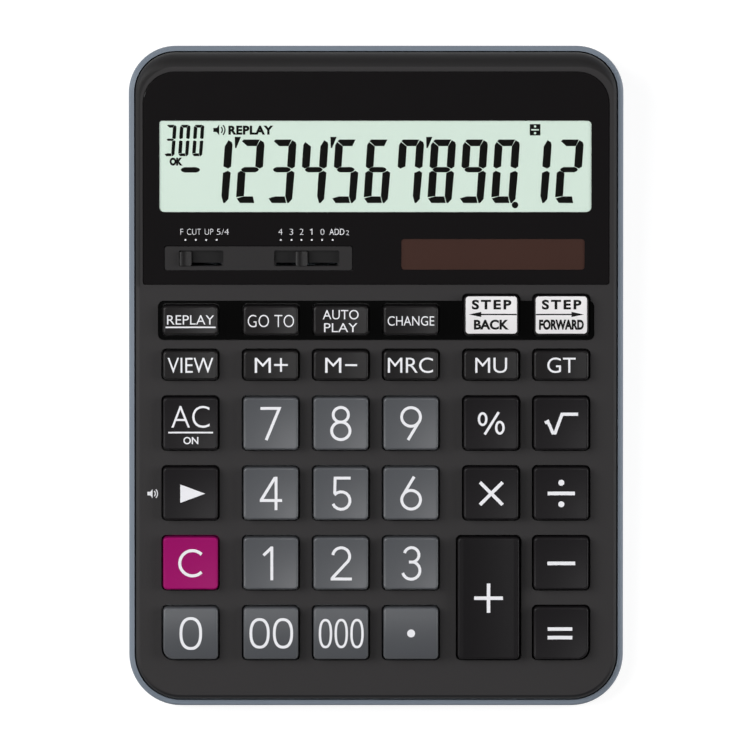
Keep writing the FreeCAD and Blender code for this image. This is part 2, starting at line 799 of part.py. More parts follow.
def add_dish(sketch, radius, bottom, top):
    """A shallow round trough: an arc whose lowest point is at bottom, closed by a line at top."""
    dish = size(radius)
    centre = Vector(0, size(bottom) + dish)
    half_angle = math.acos((centre.y - size(top)) / dish)
    down = -math.pi / 2
    circle = Part.Circle(centre, UP, dish)
    arc = Part.ArcOfCircle(circle, down - half_angle, down + half_angle)
    sketch.addGeometry([arc, Part.LineSegment(arc.EndPoint, arc.StartPoint)])
    constrain(sketch, [
        (Sketcher.Constraint("Coincident", 0, 2, 1, 1), None),
        (Sketcher.Constraint("Coincident", 1, 2, 0, 1), None),
        (Sketcher.Constraint("PointOnObject", 0, 3, -2), None),
        (Sketcher.Constraint("Horizontal", 1), None),
        datum("Radius", radius, 0),
        datum("DistanceY", f"{bottom} + {radius}", -1, 1, 0, 3),
        datum("DistanceY", top, -1, 1, 1, 1),
    ])


def dish_edges(shape, radius):
    """Names of the edges round a dished face, which is a cylinder of that radius."""
    round_faces = [face for face in shape.Faces if face.Surface.TypeId == "Part::GeomCylinder"]
    dish = next(face for face in round_faces if abs(face.Surface.Radius - radius) < NEAR)
    return [f"Edge{number}" for number, edge in enumerate(shape.Edges, start=1)
            if any(edge.isSame(other) for other in dish.Edges)]


def round_edges(body, name, radius, edges):
    feature = body.newObject("PartDesign::Fillet", name)
    feature.Base = (body.Tip if body.Tip != feature else feature.BaseFeature, edges)
    bind(feature, "Radius", radius)
    return feature


def edges_at(shape, test):
    """Names of the edges whose middle passes a test."""
    return [f"Edge{number}" for number, edge in enumerate(shape.Edges, start=1) if test(edge)]


def make_lower_case():
    """Blue-grey tray: walls that follow the deck, screw bosses, ribs and seats for the feet."""
    body = new_body("lower_case")
    floor = "foot_height + floor_wall"
    pad(body, case_outline(body, "lower_outline", "foot_height", "0"), THROUGH)
    slope_cut(body, "rim_line", "rim_drop", rear_round=True)
    doc.recompute()
    round_edges(body, "rim_edge", "rim_round", edges_at(body.Shape, on_outline))
    doc.recompute()
    bottom = size("foot_height") + NEAR
    base_edges = edges_at(body.Shape, lambda edge: edge.BoundBox.ZMax < bottom)
    round_edges(body, "base_edge", "base_round", base_edges)
    pocket(body, case_outline(body, "lower_inside", floor, "rim_width"), THROUGH, reverse=True)

    sketch = new_sketch(body, "floor_ribs", lift=size(floor))
    ends = ["floor_rib_width/4"] * 4
    for number in range(FLOOR_RIBS):
        along = f"floor_rib_start + floor_rib_step*{number}"
        rounded_rectangle(sketch, "0", along, "floor_rib_length", "floor_rib_width", ends)
    pad(body, sketch, "floor_rib_height")
    sketch = new_sketch(body, "buzzer_ring", lift=size(floor))
    for radius in ("brass_radius + ring_gap", "brass_radius + ring_gap + ring_wall"):
        add_circles(sketch, [("buzzer_x", "buzzer_y")], radius)
    pad(body, sketch, "ring_height")

    for name, (places, height) in CASE_POSTS.items():
        sketch = new_sketch(body, f"{name}_bosses", lift=size(floor))
        add_circles(sketch, places, "boss_radius")
        pad(body, sketch, f"{height} - ({floor})")
        sketch = new_sketch(body, f"{name}_head_wells", lift=size("foot_height"))
        add_circles(sketch, places, "head_radius + head_clearance")
        pocket(body, sketch, f"{height} - boss_web - foot_height", reverse=True)
        sketch = new_sketch(body, f"{name}_holes", lift=size("foot_height"))
        add_circles(sketch, places, "screw_radius + head_clearance/2")
        pocket(body, sketch, THROUGH, reverse=True)

    sketch = new_sketch(body, "foot_seats", lift=size("foot_height"))
    add_circles(sketch, FOOT_PLACES, "foot_radius + panel_gap")
    pocket(body, sketch, "foot_sink", reverse=True)
    return body


def make_display_panel():
    """Black acrylic window, flush in its recess, with a cut-out round the switch deck."""
    body = new_body("display_panel")
    sketch = new_sketch(body, "panel_sheet", lift=-size("panel_wall"))
    panel_outline(sketch, "0")
    switch_deck_outline(sketch, "panel_gap")
    pad(body, sketch, "panel_wall")
    doc.recompute()
    top_edges = edges_at(body.Shape, lambda edge: edge.BoundBox.ZMin > -NEAR)
    round_edges(body, "panel_edge", "panel_edge", top_edges)
    body.Placement = DISPLAY_DECK
    return body


def make_bezel():
    """Black inlay in the strip round the first row of keys."""
    body = new_body("function_key_bezel")
    sketch = new_sketch(body, "bezel_sheet", lift=-size("strip_sink"))
    sides = [f"{side} - 2*panel_gap" for side in ("strip_width", "strip_depth")]
    rounded_rectangle(sketch, "0", up_key_deck("strip_y"), *sides, ["strip_corner - panel_gap"] * 4)
    pad(body, sketch, "bezel_wall")
    cut_key_apertures(body, "bezel_apertures", 0, "2*strip_sink", Placement())
    body.Placement = KEY_DECK
    return body


def make_key_mat():
    """Silicone sheet with a hollow dome and a contact pill under every plunger."""
    body = new_body("key_mat")
    domes = []
    for _, _, form, across, along in KEYS:
        domes += [(across, f"{along} + {offset or 0}") for offset in dome_offsets(form)]
    left, right = f"{COLUMNS[0]} - mat_margin", f"{COLUMNS[5]} + mat_margin"
    front, rear = f"{up_key_deck(ROWS[5])} - mat_margin", f"{up_key_deck(WHITE_ROW)} + mat_rear_margin"
    middle = f"({left} + {right})/2", f"({front} + {rear})/2"
    sketch = new_sketch(body, "mat_sheet", lift=-size("board_top"))
    rounded_rectangle(sketch, *middle, f"{right} - ({left})", f"{rear} - ({front})", ["key_corner"] * 4)
    pad(body, sketch, "board_top - mat_top")
    sketch = new_sketch(body, "domes", lift=-size("mat_top"))
    add_circles(sketch, domes, "dome_radius")
    pad(body, sketch, "mat_top - dome_top", taper="-dome_taper")
    sketch = new_sketch(body, "dome_hollows", lift=-size("board_top"))
    add_circles(sketch, domes, "dome_hollow_radius")
    pocket(body, sketch, "board_top - dome_top - dome_wall", reverse=True, taper="-dome_taper")
    sketch = new_sketch(body, "contact_pills", lift=-size("dome_top + dome_wall + pill_drop"))
    add_circles(sketch, domes, "pill_radius")
    pad(body, sketch, "pill_drop + dome_wall/2")
    sketch = new_sketch(body, "mat_holes", lift=-size("board_top"))
    add_circles(sketch, MAIN_BOARD_POSTS[:-1], "mat_hole_radius")
    pocket(body, sketch, "2*dome_wall", reverse=True)
    body.Placement = KEY_DECK
    return body


def make_board(name, up_deck, top, posts, frame):
    """A circuit board with its screw holes."""
    front, rear = up_deck(name + "_front"), up_deck(name + "_rear")
    body = new_body(name)
    sketch = new_sketch(body, name + "_sheet", lift=-size(f"{top} + board_wall"))
    middle = f"({front} + {rear})/2"
    rounded_rectangle(sketch, "0", middle, name + "_width", f"{rear} - ({front})", ["board_corner"] * 4)
    add_circles(sketch, posts, "board_pilot_radius + panel_gap")
    pad(body, sketch, "board_wall")
    body.Placement = frame
    return body


UNDER_DECK = "deck_wall*cos(display_slope)"


def make_lcd_cell():
    """Two glass plates; the rear one stops short, which leaves the contact ledge free."""
    body = new_body("lcd_cell")
    sketch = new_sketch(body, "lcd_glass", lift=-size(f"{UNDER_DECK} + lcd_wall"))
    rounded_rectangle(sketch, "0", LCD_V, "lcd_width", "lcd_depth", ["window_corner/2"] * 4)
    pad(body, sketch, "lcd_wall")
    sketch = new_sketch(body, "lcd_contact_ledge", lift=-size(f"{UNDER_DECK} + lcd_wall"))
    front = f"{LCD_V} - lcd_depth/2"
    rounded_rectangle(sketch, "0", front, "lcd_width + lcd_ledge", "2*lcd_ledge", ["window_corner/2"] * 4)
    pocket(body, sketch, "lcd_wall/2", reverse=True)
    body.Placement = DISPLAY_DECK
    return body


def make_solar_cell():
    body = new_body("solar_cell")
    sketch = new_sketch(body, "solar_glass", lift=-size(f"{UNDER_DECK} + solar_wall"))
    along = up_display_deck("solar_y")
    rounded_rectangle(sketch, "solar_x", along, "solar_width", "solar_depth", ["window_corner/2"] * 4)
    pad(body, sketch, "solar_wall")
    body.Placement = DISPLAY_DECK
    return body


def switch_frame(name):
    """Where a slide switch's knob stands: the middle of its width, on the display deck."""
    centre = SWITCHES[name][0]
    return DISPLAY_DECK * at(centre, up_display_deck("switch_deck_y"), "0")


STEM_Y = "-knob_depth/2 + stem_depth/2"


def make_slider(name):
    """Knob with a hollowed top, a stem through the slit and barbs that snap under the deck."""
    body = new_body(f"{name}_slider")
    base = "slot_sink - knob_clearance"
    sketch = new_sketch(body, f"{name}_knob", lift=-size(base))
    rounded_rectangle(sketch, "0", "0", "knob_width", "knob_depth", ["slot_corner"] * 4)
    pad(body, sketch, f"knob_rise + {base}")
    sketch = new_sketch(body, f"{name}_finger_dish", "XZ_Plane")
    add_dish(sketch, "knob_dish_radius", "knob_rise/2", "knob_rise + knob_dish_over")
    pocket(body, sketch, "2*knob_depth", both=True)
    sketch = new_sketch(body, f"{name}_stem", lift=-size("stem_foot"))
    rounded_rectangle(sketch, "0", STEM_Y, "stem_width", "stem_depth", ["stem_depth/4"] * 4)
    pad(body, sketch, f"stem_foot - ({base}) + stem_root")
    sketch = new_sketch(body, f"{name}_barbs", lift=-size("barb_top + barb_drop"))
    rounded_rectangle(sketch, "0", STEM_Y, "stem_width", "barb_depth", ["stem_depth/4"] * 4)
    pad(body, sketch, "barb_drop")
    body.Placement = switch_frame(name)
    return body


BEND_SHARE = 0.45


def rounded_path(points):
    """Straight runs joined by tangent arcs, each as large as its two runs allow."""
    edges = []
    start = points[0]
    for before, corner, after in zip(points, points[1:], points[2:]):
        into, out = corner - before, after - corner
        reach = BEND_SHARE * min(into.Length, out.Length)
        half_turn = into.getAngle(out) / 2
        into.normalize()
        out.normalize()
        radius = reach / math.tan(half_turn)
        arc_start, arc_end = corner - into * reach, corner + out * reach
        inward = (out - into).normalize()
        arc_middle = corner + inward * (radius / math.cos(half_turn) - radius)
        edges.append(Part.LineSegment(start, arc_start).toShape())
        edges.append(Part.Arc(arc_start, arc_middle, arc_end).toShape())
        start = arc_end
    edges.append(Part.LineSegment(start, points[-1]).toShape())
    return Part.Wire(edges)


def strip_along(points, width, wall, width_axis):
    """A flat strip that follows a path; width_axis is square to the path's plane."""
    first_run = (points[1] - points[0]).normalize()
    side = width_axis * (width / 2)
    thick = width_axis.cross(first_run) * (wall / 2)
    outline = [side + thick, thick - side, -side - thick, side - thick, side + thick]
    section = Part.makePolygon([points[0] + offset for offset in outline])
    return rounded_path(points).makePipeShell([section], True, False)


def wire_along(points, radius):
    """A round wire that follows a path."""
    first_run = points[1] - points[0]
    section = Part.Wire(Part.makeCircle(radius, points[0], first_run))
    return rounded_path(points).makePipeShell([section], True, False)


def formed(name, shape, frame=Placement()):
    """A piece whose shape comes straight from sizes in the sheet."""
    piece = doc.addObject("Part::Feature", name)
    piece.Label = name
    piece.Shape = shape
    piece.Placement = frame
    return piece


DISPLAY_BOARD_UNDER = "display_board_top + board_wall"
MAIN_BOARD_UNDER = "board_top + board_wall"


def make_wiper(name):
    """Sprung contact leaf under a slide switch, with an arm to each side."""
    wall = size("leaf_wall")
    top = -size("stem_foot") - wall / 2
    tip = -size("display_board_top") + 1.5 * wall
    half = size("stem_width") / 2
    reach = size("leaf_reach")
    run = [(-reach, tip), (-half / 2, top), (half / 2, top), (reach, tip)]
    points = [Vector(across, 0, level) for across, level in run]
    shape = strip_along(points, size("leaf_depth"), wall, ALONG)
    return formed(f"{name}_wiper", shape, switch_frame(name) * at("0", STEM_Y, "0"))


def make_lcd_ribbon():
    """Flexible film from the display's contact ledge down to the display board."""
    wall = size("ribbon_wall")
    top = -size(f"{UNDER_DECK} + lcd_wall/2") - wall / 2
    bottom = -size("display_board_top") + wall / 2
    front = size(f"{LCD_V} - lcd_depth/2")
    fold = front + size("lcd_ribbon_fold")
    end = fold + size("lcd_ledge")
    run = [(front + size("rib_gap"), top), (fold, top), (fold, bottom), (end, bottom)]
    points = [Vector(0, along, level) for along, level in run]
    return formed("lcd_ribbon", strip_along(points, size("lcd_ribbon_width"), wall, ACROSS), DISPLAY_DECK)


def make_board_ribbon():
    """Flat cable that hangs in a shallow bow between the two boards."""
    wall = size("ribbon_wall")
    tab = size("board_ribbon_tab")
    main_level = -size(MAIN_BOARD_UNDER) - wall / 2
    display_level = -size(DISPLAY_BOARD_UNDER) - wall / 2
    main_rear = size(up_key_deck("main_board_rear"))
    display_front = size(up_display_deck("display_board_front"))
    start = KEY_DECK.multVec(Vector(0, main_rear - tab, main_level))
    run = size("board_ribbon_run")
    leave = KEY_DECK.multVec(Vector(0, main_rear + run, main_level))
    arrive = DISPLAY_DECK.multVec(Vector(0, display_front - run, display_level))
    end = DISPLAY_DECK.multVec(Vector(0, display_front + tab, display_level))
    bow = (leave + arrive) * 0.5 - Vector(0, 0, size("board_ribbon_sag"))
    shape = strip_along([start, leave, bow, arrive, end], size("board_ribbon_width"), wall, ACROSS)
    return formed("board_ribbon", shape, at("board_ribbon_x", "0", "0"))


def make_solar_leads():
    """Two wires from the solar cell to the display board."""
    top = -size(f"{UNDER_DECK} + solar_wall")
    bottom = -size("display_board_top")
    quarter = (top - bottom) / 4
    near = size(up_display_deck("solar_y"))
    leads = []
    for side in (-1, 1):
        across = size("solar_x") + side * size("solar_lead_x")
        far = near + quarter
        run = [(near, top), (near, top - quarter), (far, bottom + quarter), (far, bottom)]
        points = [Vector(across, along, level) for along, level in run]
        leads.append(wire_along(points, size("lead_radius")))
    return formed("solar_leads", Part.makeCompound(leads), DISPLAY_DECK)


def make_buzzer_leads():
    """Two wires from the buzzer on the floor up to the display board."""
    floor = size("foot_height + floor_wall + 2*buzzer_wall")
    slack = size("buzzer_lead_slack")
    step = size("buzzer_lead_step")
    rise = UP * slack
    drop = DISPLAY_DECK.Rotation.multVec(rise)
    board_y = size(up_display_deck("buzzer_y")) + slack
    leads = []
    for side in (-1, 1):
        start = Vector(size("buzzer_x") + side * step, size("buzzer_y"), floor)
        end = DISPLAY_DECK.multVec(Vector(start.x + slack, board_y, -size(DISPLAY_BOARD_UNDER)))
        leads.append(wire_along([start, start + rise, end - drop, end], size("lead_radius")))
    return formed("buzzer_leads", Part.makeCompound(leads))


def cell_frame():
    return DISPLAY_DECK * at("cell_x", up_display_deck("cell_y"), f"-({DISPLAY_BOARD_UNDER})")


def make_button_cell():
    """Button cell under the display board: the can faces the board, the smaller cap faces down."""
    body = new_body("button_cell")
    sketch = new_sketch(body, "cell_can", lift=-size("contact_wall + cell_height"))
    add_centred_circle(sketch, "cell_radius")
    pad(body, sketch, "cell_height")
    doc.recompute()
    rims = edges_at(body.Shape, lambda edge: edge.Curve.TypeId == "Part::GeomCircle")
    round_edges(body, "cell_edge", "contact_wall", rims)
    sketch = new_sketch(body, "cell_cap", lift=-size("contact_wall + cell_height + cell_cap_height"))
    add_centred_circle(sketch, "cell_cap_radius")
    pad(body, sketch, "cell_cap_height + contact_wall")
    body.Placement = cell_frame()
    return body


def make_battery_contacts():
    """A flat tongue between board and cell, and a bent spring under the cell."""
    wall = size("contact_wall")
    width = size("cell_contact_width")
    reach = size("cell_contact_reach")
    high = -wall / 2
    low = high - wall - size("cell_height + cell_cap_height")
    near = -size("cell_radius + cell_contact_gap")
    back = size("cell_radius/2")
    tongue = Part.makeBox(reach + back, width, wall, Vector(-back, -width / 2, -wall))
    run = [(-reach - wall, high), (near, high), (near, low), (wall, low)]
    points = [Vector(across, 0, level) for across, level in run]
    spring = strip_along(points, width, wall, ALONG)
    return formed("battery_contacts", Part.makeCompound([tongue, spring]), cell_frame())


def make_buzzer_disc():
    """Piezo buzzer: a ceramic wafer on a larger brass disc."""
    body = new_body("buzzer_disc")
    sketch = new_sketch(body, "brass_disc")
    add_centred_circle(sketch, "brass_radius")
    pad(body, sketch, "buzzer_wall")
    sketch = new_sketch(body, "ceramic_disc", lift=size("buzzer_wall"))
    add_centred_circle(sketch, "ceramic_radius")
    pad(body, sketch, "buzzer_wall")
    body.Placement = at("buzzer_x", "buzzer_y", "foot_height + floor_wall")
    return body


def make_chip_blob():
    """Domed drop of epoxy over the processor, under the display board."""
    blob = doc.addObject("Part::Sphere", "chip_blob")
    blob.Label = "chip_blob"
    bind(blob, "Radius", "chip_sphere")
    bind(blob, "Angle1", "chip_latitude")
    rise = f"chip_sphere*sin(chip_latitude) - ({DISPLAY_BOARD_UNDER})"
    turned = Placement(Vector(), Rotation(ACROSS, 180))
    blob.Placement = DISPLAY_DECK * at("chip_x", up_display_deck("chip_y"), rise) * turned
    return blob


def screw_form(name, head, height, shank, length):
    """One pan-head screw, point up, with a cross recess in the head."""
    body = new_body(name)
    sketch = new_sketch(body, name + "_head", lift=-size(height))
    add_centred_circle(sketch, head)
    pad(body, sketch, height)
    sketch = new_sketch(body, name + "_shank", lift=-size(height) / 2)
    add_centred_circle(sketch, shank)
    pad(body, sketch, f"{length} + {height}/2")
    for number, (width, depth) in enumerate([(head, f"{head}/4"), (f"{head}/4", head)]):
        sketch = new_sketch(body, f"{name}_slot_{number}", lift=-size(height))
        rounded_rectangle(sketch, "0", "0", width, depth, [f"{head}/16"] * 4)
        pocket(body, sketch, f"{height}/2", reverse=True)
    doc.recompute()
    return body.Shape


def copies(name, shape, frames):
    """Identical pieces that share one node, as separate solids."""
    return formed(name, Part.makeCompound([shape.transformed(frame.toMatrix()) for frame in frames]))


def make_case_screws():
    length = "boss_web + pilot_depth - screw_point_gap"
    shape = screw_form("case_screw", "head_radius", "head_height", "screw_radius", length)
    frames = []
    for places, height in CASE_POSTS.values():
        frames += [at(*place, f"{height} - boss_web") for place in places]
    return copies("case_screws", shape, frames)


def make_board_screws():
    length = "board_wall + board_screw_bite - screw_point_gap"
    shape = screw_form("board_screw", "board_head_radius", "board_head_height", "board_screw_radius", length)
    frames = [KEY_DECK * at(*place, f"-({MAIN_BOARD_UNDER})") for place in MAIN_BOARD_POSTS]
    frames += [DISPLAY_DECK * at(*place, f"-({DISPLAY_BOARD_UNDER})") for place in DISPLAY_BOARD_POSTS]
    return copies("board_screws", shape, frames)


def make_rubber_feet():
    body = new_body("rubber_foot")
    sketch = new_sketch(body, "foot_disc")
    add_centred_circle(sketch, "foot_radius")
    pad(body, sketch, "foot_height + foot_sink")
    doc.recompute()
    round_edges(body, "foot_edge", "foot_round", edges_at(body.Shape, lambda edge: edge.BoundBox.ZMax < NEAR))
    doc.recompute()
    return copies("rubber_feet", body.Shape, [at(*place, "0") for place in FOOT_PLACES])


def make_all():
    yield make_upper_case()
    yield make_lower_case()
    yield make_display_panel()
    yield make_bezel()
    for name, _, form, across, along in KEYS:
        yield make_key(name, form, across, along)
    yield make_key_mat()
    yield make_board("main_board", up_key_deck, "board_top", MAIN_BOARD_POSTS, KEY_DECK)
    yield make_board("display_board", up_display_deck, "display_board_top", DISPLAY_BOARD_POSTS, DISPLAY_DECK)
    yield make_lcd_cell()
    yield make_lcd_ribbon()
    yield make_board_ribbon()
    yield make_solar_cell()
    yield make_solar_leads()
    for name in SWITCHES:
        yield make_slider(name)
        yield make_wiper(name)
    yield make_button_cell()
    yield make_battery_contacts()
    yield make_buzzer_disc()
    yield make_buzzer_leads()
    yield make_chip_blob()
    yield make_case_screws()
    yield make_board_screws()
    yield make_rubber_feet()


PIECES = list(make_all())
doc.recompute()

failed = [item.Name for item in doc.Objects if "Invalid" in item.State or "Error" in item.State]
failed += [piece.Label for piece in PIECES if piece.Shape.isNull() or not piece.Shape.isValid()]
if failed:
    raise RuntimeError("these did not build: " + ", ".join(failed))

os.makedirs("parts", exist_ok=True)
for piece in PIECES:
    piece.Shape.exportStep(f"parts/{piece.Label}.step")
print(len(PIECES), "sub-parts written")
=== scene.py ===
import math

import bmesh
import bpy
from mathutils import Matrix, Vector


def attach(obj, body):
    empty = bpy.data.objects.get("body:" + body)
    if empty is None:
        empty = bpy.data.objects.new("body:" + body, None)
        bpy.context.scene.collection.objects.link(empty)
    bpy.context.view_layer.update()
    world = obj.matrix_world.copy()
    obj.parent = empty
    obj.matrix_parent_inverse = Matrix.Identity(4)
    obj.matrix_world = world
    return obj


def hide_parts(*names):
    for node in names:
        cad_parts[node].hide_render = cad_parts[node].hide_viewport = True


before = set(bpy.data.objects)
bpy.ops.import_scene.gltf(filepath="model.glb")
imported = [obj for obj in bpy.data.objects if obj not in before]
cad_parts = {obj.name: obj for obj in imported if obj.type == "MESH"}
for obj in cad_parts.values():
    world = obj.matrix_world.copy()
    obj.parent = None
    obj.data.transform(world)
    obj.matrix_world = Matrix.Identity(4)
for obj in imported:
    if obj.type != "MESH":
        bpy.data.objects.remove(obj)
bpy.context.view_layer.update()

# Desk calculator: the printed legends, the glazed display and the finishes.
# Lengths are in millimetres and built in metres. Places are given in plan, X to the
# right and Y to the rear, and carried up to the tilted decks, which meet at the fold.

MM = 0.001
KEY_SLOPE = math.radians(5.5)
DISPLAY_SLOPE = math.radians(8.0)
FOLD = Vector((0.0, 24.8, 25.8))
KEY_DECK = Matrix.Translation(FOLD * MM) @ Matrix.Rotation(KEY_SLOPE, 4, "X")
DISPLAY_DECK = Matrix.Translation(FOLD * MM) @ Matrix.Rotation(DISPLAY_SLOPE, 4, "X")


def up_deck(plan_y, slope, level=0.0):
    """How far up a deck from the fold a point lies that is seen at plan_y, level above the deck."""
    return (plan_y - FOLD.y + level * math.sin(slope)) / math.cos(slope)


# Modelling

NEAR = 0.000002
CORNER_STEPS = 8
EDGE_STEPS = 3
SHARP = math.radians(50)
SMOOTH = math.radians(40)


def alone(piece):
    """Select one piece and nothing else."""
    bpy.ops.object.select_all(action="DESELECT")
    piece.select_set(True)
    bpy.context.view_layer.objects.active = piece


def select_edges(piece, test):
    """In edit mode, select the edges whose two ends pass a test."""
    bpy.ops.mesh.select_all(action="DESELECT")
    edit = bmesh.from_edit_mesh(piece.data)
    for edge in edit.edges:
        if all(test(vertex.co) for vertex in edge.verts):
            edge.select_set(True)
    bmesh.update_edit_mesh(piece.data)


def slab(name, middle, size, corners, bottom, top):
    """A sheet from a cube with rounded upright edges; corners go round from the front left."""
    bpy.ops.object.select_all(action="DESELECT")
    bpy.ops.mesh.primitive_cube_add(size=1.0)
    piece = bpy.context.object
    piece.name = name
    piece.scale = Vector((size[0], size[1], top - bottom)) * MM
    piece.location = Vector((middle[0], middle[1], (top + bottom) / 2)) * MM
    bpy.ops.object.transform_apply(location=True, rotation=True, scale=True)
    bpy.ops.object.mode_set(mode="EDIT")
    for (side, end), radius in zip([(-1, -1), (1, -1), (1, 1), (-1, 1)], corners):
        corner = Vector((middle[0] + side * size[0] / 2, middle[1] + end * size[1] / 2)) * MM
        select_edges(piece, lambda place: (place.xy - corner).length < NEAR)
        bpy.ops.mesh.bevel(offset=radius * MM, segments=CORNER_STEPS, affect="EDGES")
    bpy.ops.object.mode_set(mode="OBJECT")
    return piece


def cut(piece, cutter):
    """Take one piece out of another."""
    alone(piece)
    opening = piece.modifiers.new("opening", "BOOLEAN")
    opening.operation = "DIFFERENCE"
    opening.solver = "EXACT"
    opening.object = cutter
    bpy.ops.object.modifier_apply(modifier=opening.name)
    bpy.data.objects.remove(cutter)


def soften(piece, width):
    """Round the sharp edges of a sheet."""
    alone(piece)
    edge = piece.modifiers.new("edge", "BEVEL")
    edge.width = width * MM
    edge.segments = EDGE_STEPS
    edge.limit_method = "ANGLE"
    edge.angle_limit = SHARP
    bpy.ops.object.modifier_apply(modifier=edge.name)


def close_seams(piece):
    """Merge the seams of a new mesh and turn its faces outwards."""
    alone(piece)
    bpy.ops.object.mode_set(mode="EDIT")
    bpy.ops.mesh.select_all(action="SELECT")
    bpy.ops.mesh.remove_doubles(threshold=NEAR)
    bpy.ops.mesh.normals_make_consistent(inside=False)
    bpy.ops.object.mode_set(mode="OBJECT")


def join(name, pieces):
    """Make one piece of several."""
    alone(pieces[0])
    for piece in pieces:
        piece.select_set(True)
    bpy.ops.object.join()
    whole = bpy.context.object
    whole.name = name
    return whole


def raise_mesh(piece, height):
    """Lift a piece within its object."""
    piece.data.transform(Matrix.Translation((0.0, 0.0, height * MM)))


def settle(piece, place, body, material):
    """Carry a piece to its place, in its mesh, and let it ride on a body."""
    piece.data.transform(place)
    piece.data.materials.clear()
    piece.data.materials.append(material)
    piece.data.name = piece.name
    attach(piece, body)


# Printing: films of ink, drawn as outlines or set in the built-in typeface, whose capitals
# are FONT_CAP tall. The weights thicken or thin its strokes.

INK = 0.06
FONT_CAP = 0.682
LETTER_STEPS = 5
BOOK = -0.003
SEMI = -0.012
LIGHT = -0.018
BOLD = 0.014
FIRM = 0.038
HEAVY = 0.05
BLACK = 0.075


def arc(centre, radius, start, end, steps=14):
    """Points along an arc between two angles in degrees; a pair of radii makes it oval."""
    across, along = radius if isinstance(radius, tuple) else (radius, radius)
    angles = [math.radians(start + (end - start) * step / steps) for step in range(steps + 1)]
    return [(centre[0] + across * math.cos(a), centre[1] + along * math.sin(a)) for a in angles]


def oval(centre, radius, power=1.0):
    """An ellipse, or for a power below 1 a fuller loop with straighter sides."""
    across, along = radius if isinstance(radius, tuple) else (radius, radius)
    loop = []
    for x, y in arc((0.0, 0.0), 1.0, 0, 350, 35):
        full_x = math.copysign(abs(x) ** power, x)
        full_y = math.copysign(abs(y) ** power, y)
        loop.append((centre[0] + across * full_x, centre[1] + along * full_y))
    return loop


def bar(centre, size):
    """A rectangle."""
    x, y = size[0] / 2, size[1] / 2
    loop = [(-x, -y), (x, -y), (x, y), (-x, y)]
    return [(centre[0] + across, centre[1] + along) for across, along in loop]


def stroke(points, width):
    """The outline of a pen line of even width with mitred bends."""
    points = [Vector(point) for point in points]
    runs = [(after - before).normalized() for before, after in zip(points, points[1:])]
    sides = []
    for before, after in zip(runs[:1] + runs, runs + runs[-1:]):
        middle = (before + after).normalized()
        normal = Vector((-middle.y, middle.x))
        sides.append(normal * (width / 2 / normal.dot(Vector((-before.y, before.x)))))
    left = [point + side for point, side in zip(points, sides)]
    right = [point - side for point, side in zip(points, sides)]
    return [tuple(point) for point in left + right[::-1]]


def printed(*outlines):
    """A thin closed film of ink; an outline inside another is a hole."""
    curve = bpy.data.curves.new("mark", "CURVE")
    curve.dimensions = "2D"
    curve.fill_mode = "BOTH"
    curve.extrude = INK / 2 * MM
    for outline in outlines:
        spline = curve.splines.new("POLY")
        spline.points.add(len(outline) - 1)
        for point, (x, y) in zip(spline.points, outline):
            point.co = (x * MM, y * MM, 0.0, 1.0)
        spline.use_cyclic_u = True
    mark = bpy.data.objects.new("mark", curve)
    bpy.context.scene.collection.objects.link(mark)
    alone(mark)
    bpy.ops.object.convert(target="MESH")
    close_seams(mark)
    return mark


def ring(centre, radius, width, power=1.0):
    """An oval line; its two radii reach to the outer edge."""
    inner = (radius[0] - width, radius[1] - width)
    return printed(oval(centre, radius, power), oval(centre, inner, power))


def line(points, width, shift=(0.0, 0.0)):
    """A printed pen line."""
    return printed(stroke([(x + shift[0], y + shift[1]) for x, y in points], width))


def word(letters, cap, middle=(0.0, 0.0), weight=BOOK, stretch=1.0, spacing=1.0):
    """Printed letters, cap tall and centred on middle."""
    bpy.ops.object.select_all(action="DESELECT")
    bpy.ops.object.text_add()
    text = bpy.context.object
    text.data.body = letters
    text.data.offset = weight
    text.data.space_character = spacing
    text.data.resolution_u = LETTER_STEPS
    scale = cap / FONT_CAP * MM
    text.data.extrude = INK / 2 * MM / scale
    bpy.ops.object.convert(target="MESH")
    mark = bpy.context.object
    across = [vertex.co.x for vertex in mark.data.vertices]
    centre = Matrix.Translation((-(min(across) + max(across)) / 2, -FONT_CAP / 2, 0.0))
    grow = Matrix.Diagonal((scale * stretch, scale, scale, 1.0))
    mark.data.transform(Matrix.Translation((middle[0] * MM, middle[1] * MM, 0.0)) @ grow @ centre)
    close_seams(mark)
    return mark


def speaker(centre, height):
    """Outlines of a loudspeaker with two sound waves."""
    x, y = centre
    unit = height / 10
    horn = [(-5.2, -1.8), (-2.2, -1.8), (0, -4.7), (0, 4.7), (-2.2, 1.8), (-5.2, 1.8)]
    outlines = [[(x + across * unit, y + along * unit) for across, along in horn]]
    for radius in (3.7, 6.0):
        outlines.append(stroke(arc((x - unit * 0.9, y), radius * unit, -45, 45, 6), 1.1 * unit))
    return outlines


# Finishes

DRIFT = 18.0
GLOSS_DRIFT = 0.12
ABS_IOR = 1.53
ACRYLIC_IOR = 1.49
GLASS_IOR = 1.52


def linear(code):
    """An sRGB hex colour as linear values."""
    values = [int(code[place:place + 2], 16) / 255 for place in (1, 3, 5)]
    return [v / 12.92 if v <= 0.04045 else ((v + 0.055) / 1.055) ** 2.4 for v in values] + [1.0]


def shaded(code, factor):
    """A hex colour made darker or paler, as linear values."""
    return [min(1.0, value * factor) for value in linear(code)[:3]] + [1.0]


def add_node(tree, kind, inputs=None, **settings):
    """Add a node; an input is a value for its socket, or another node's output to link."""
    node = tree.nodes.new(kind)
    for name, value in settings.items():
        setattr(node, name, value)
    for name, value in (inputs or {}).items():
        if isinstance(value, bpy.types.NodeSocket):
            tree.links.new(value, node.inputs[name])
        else:
            node.inputs[name].default_value = value
    return node


def reckon(tree, operation, *values):
    """The result of a sum; each value is a number or another node's output."""
    return add_node(tree, "ShaderNodeMath", dict(enumerate(values)), operation=operation).outputs[0]


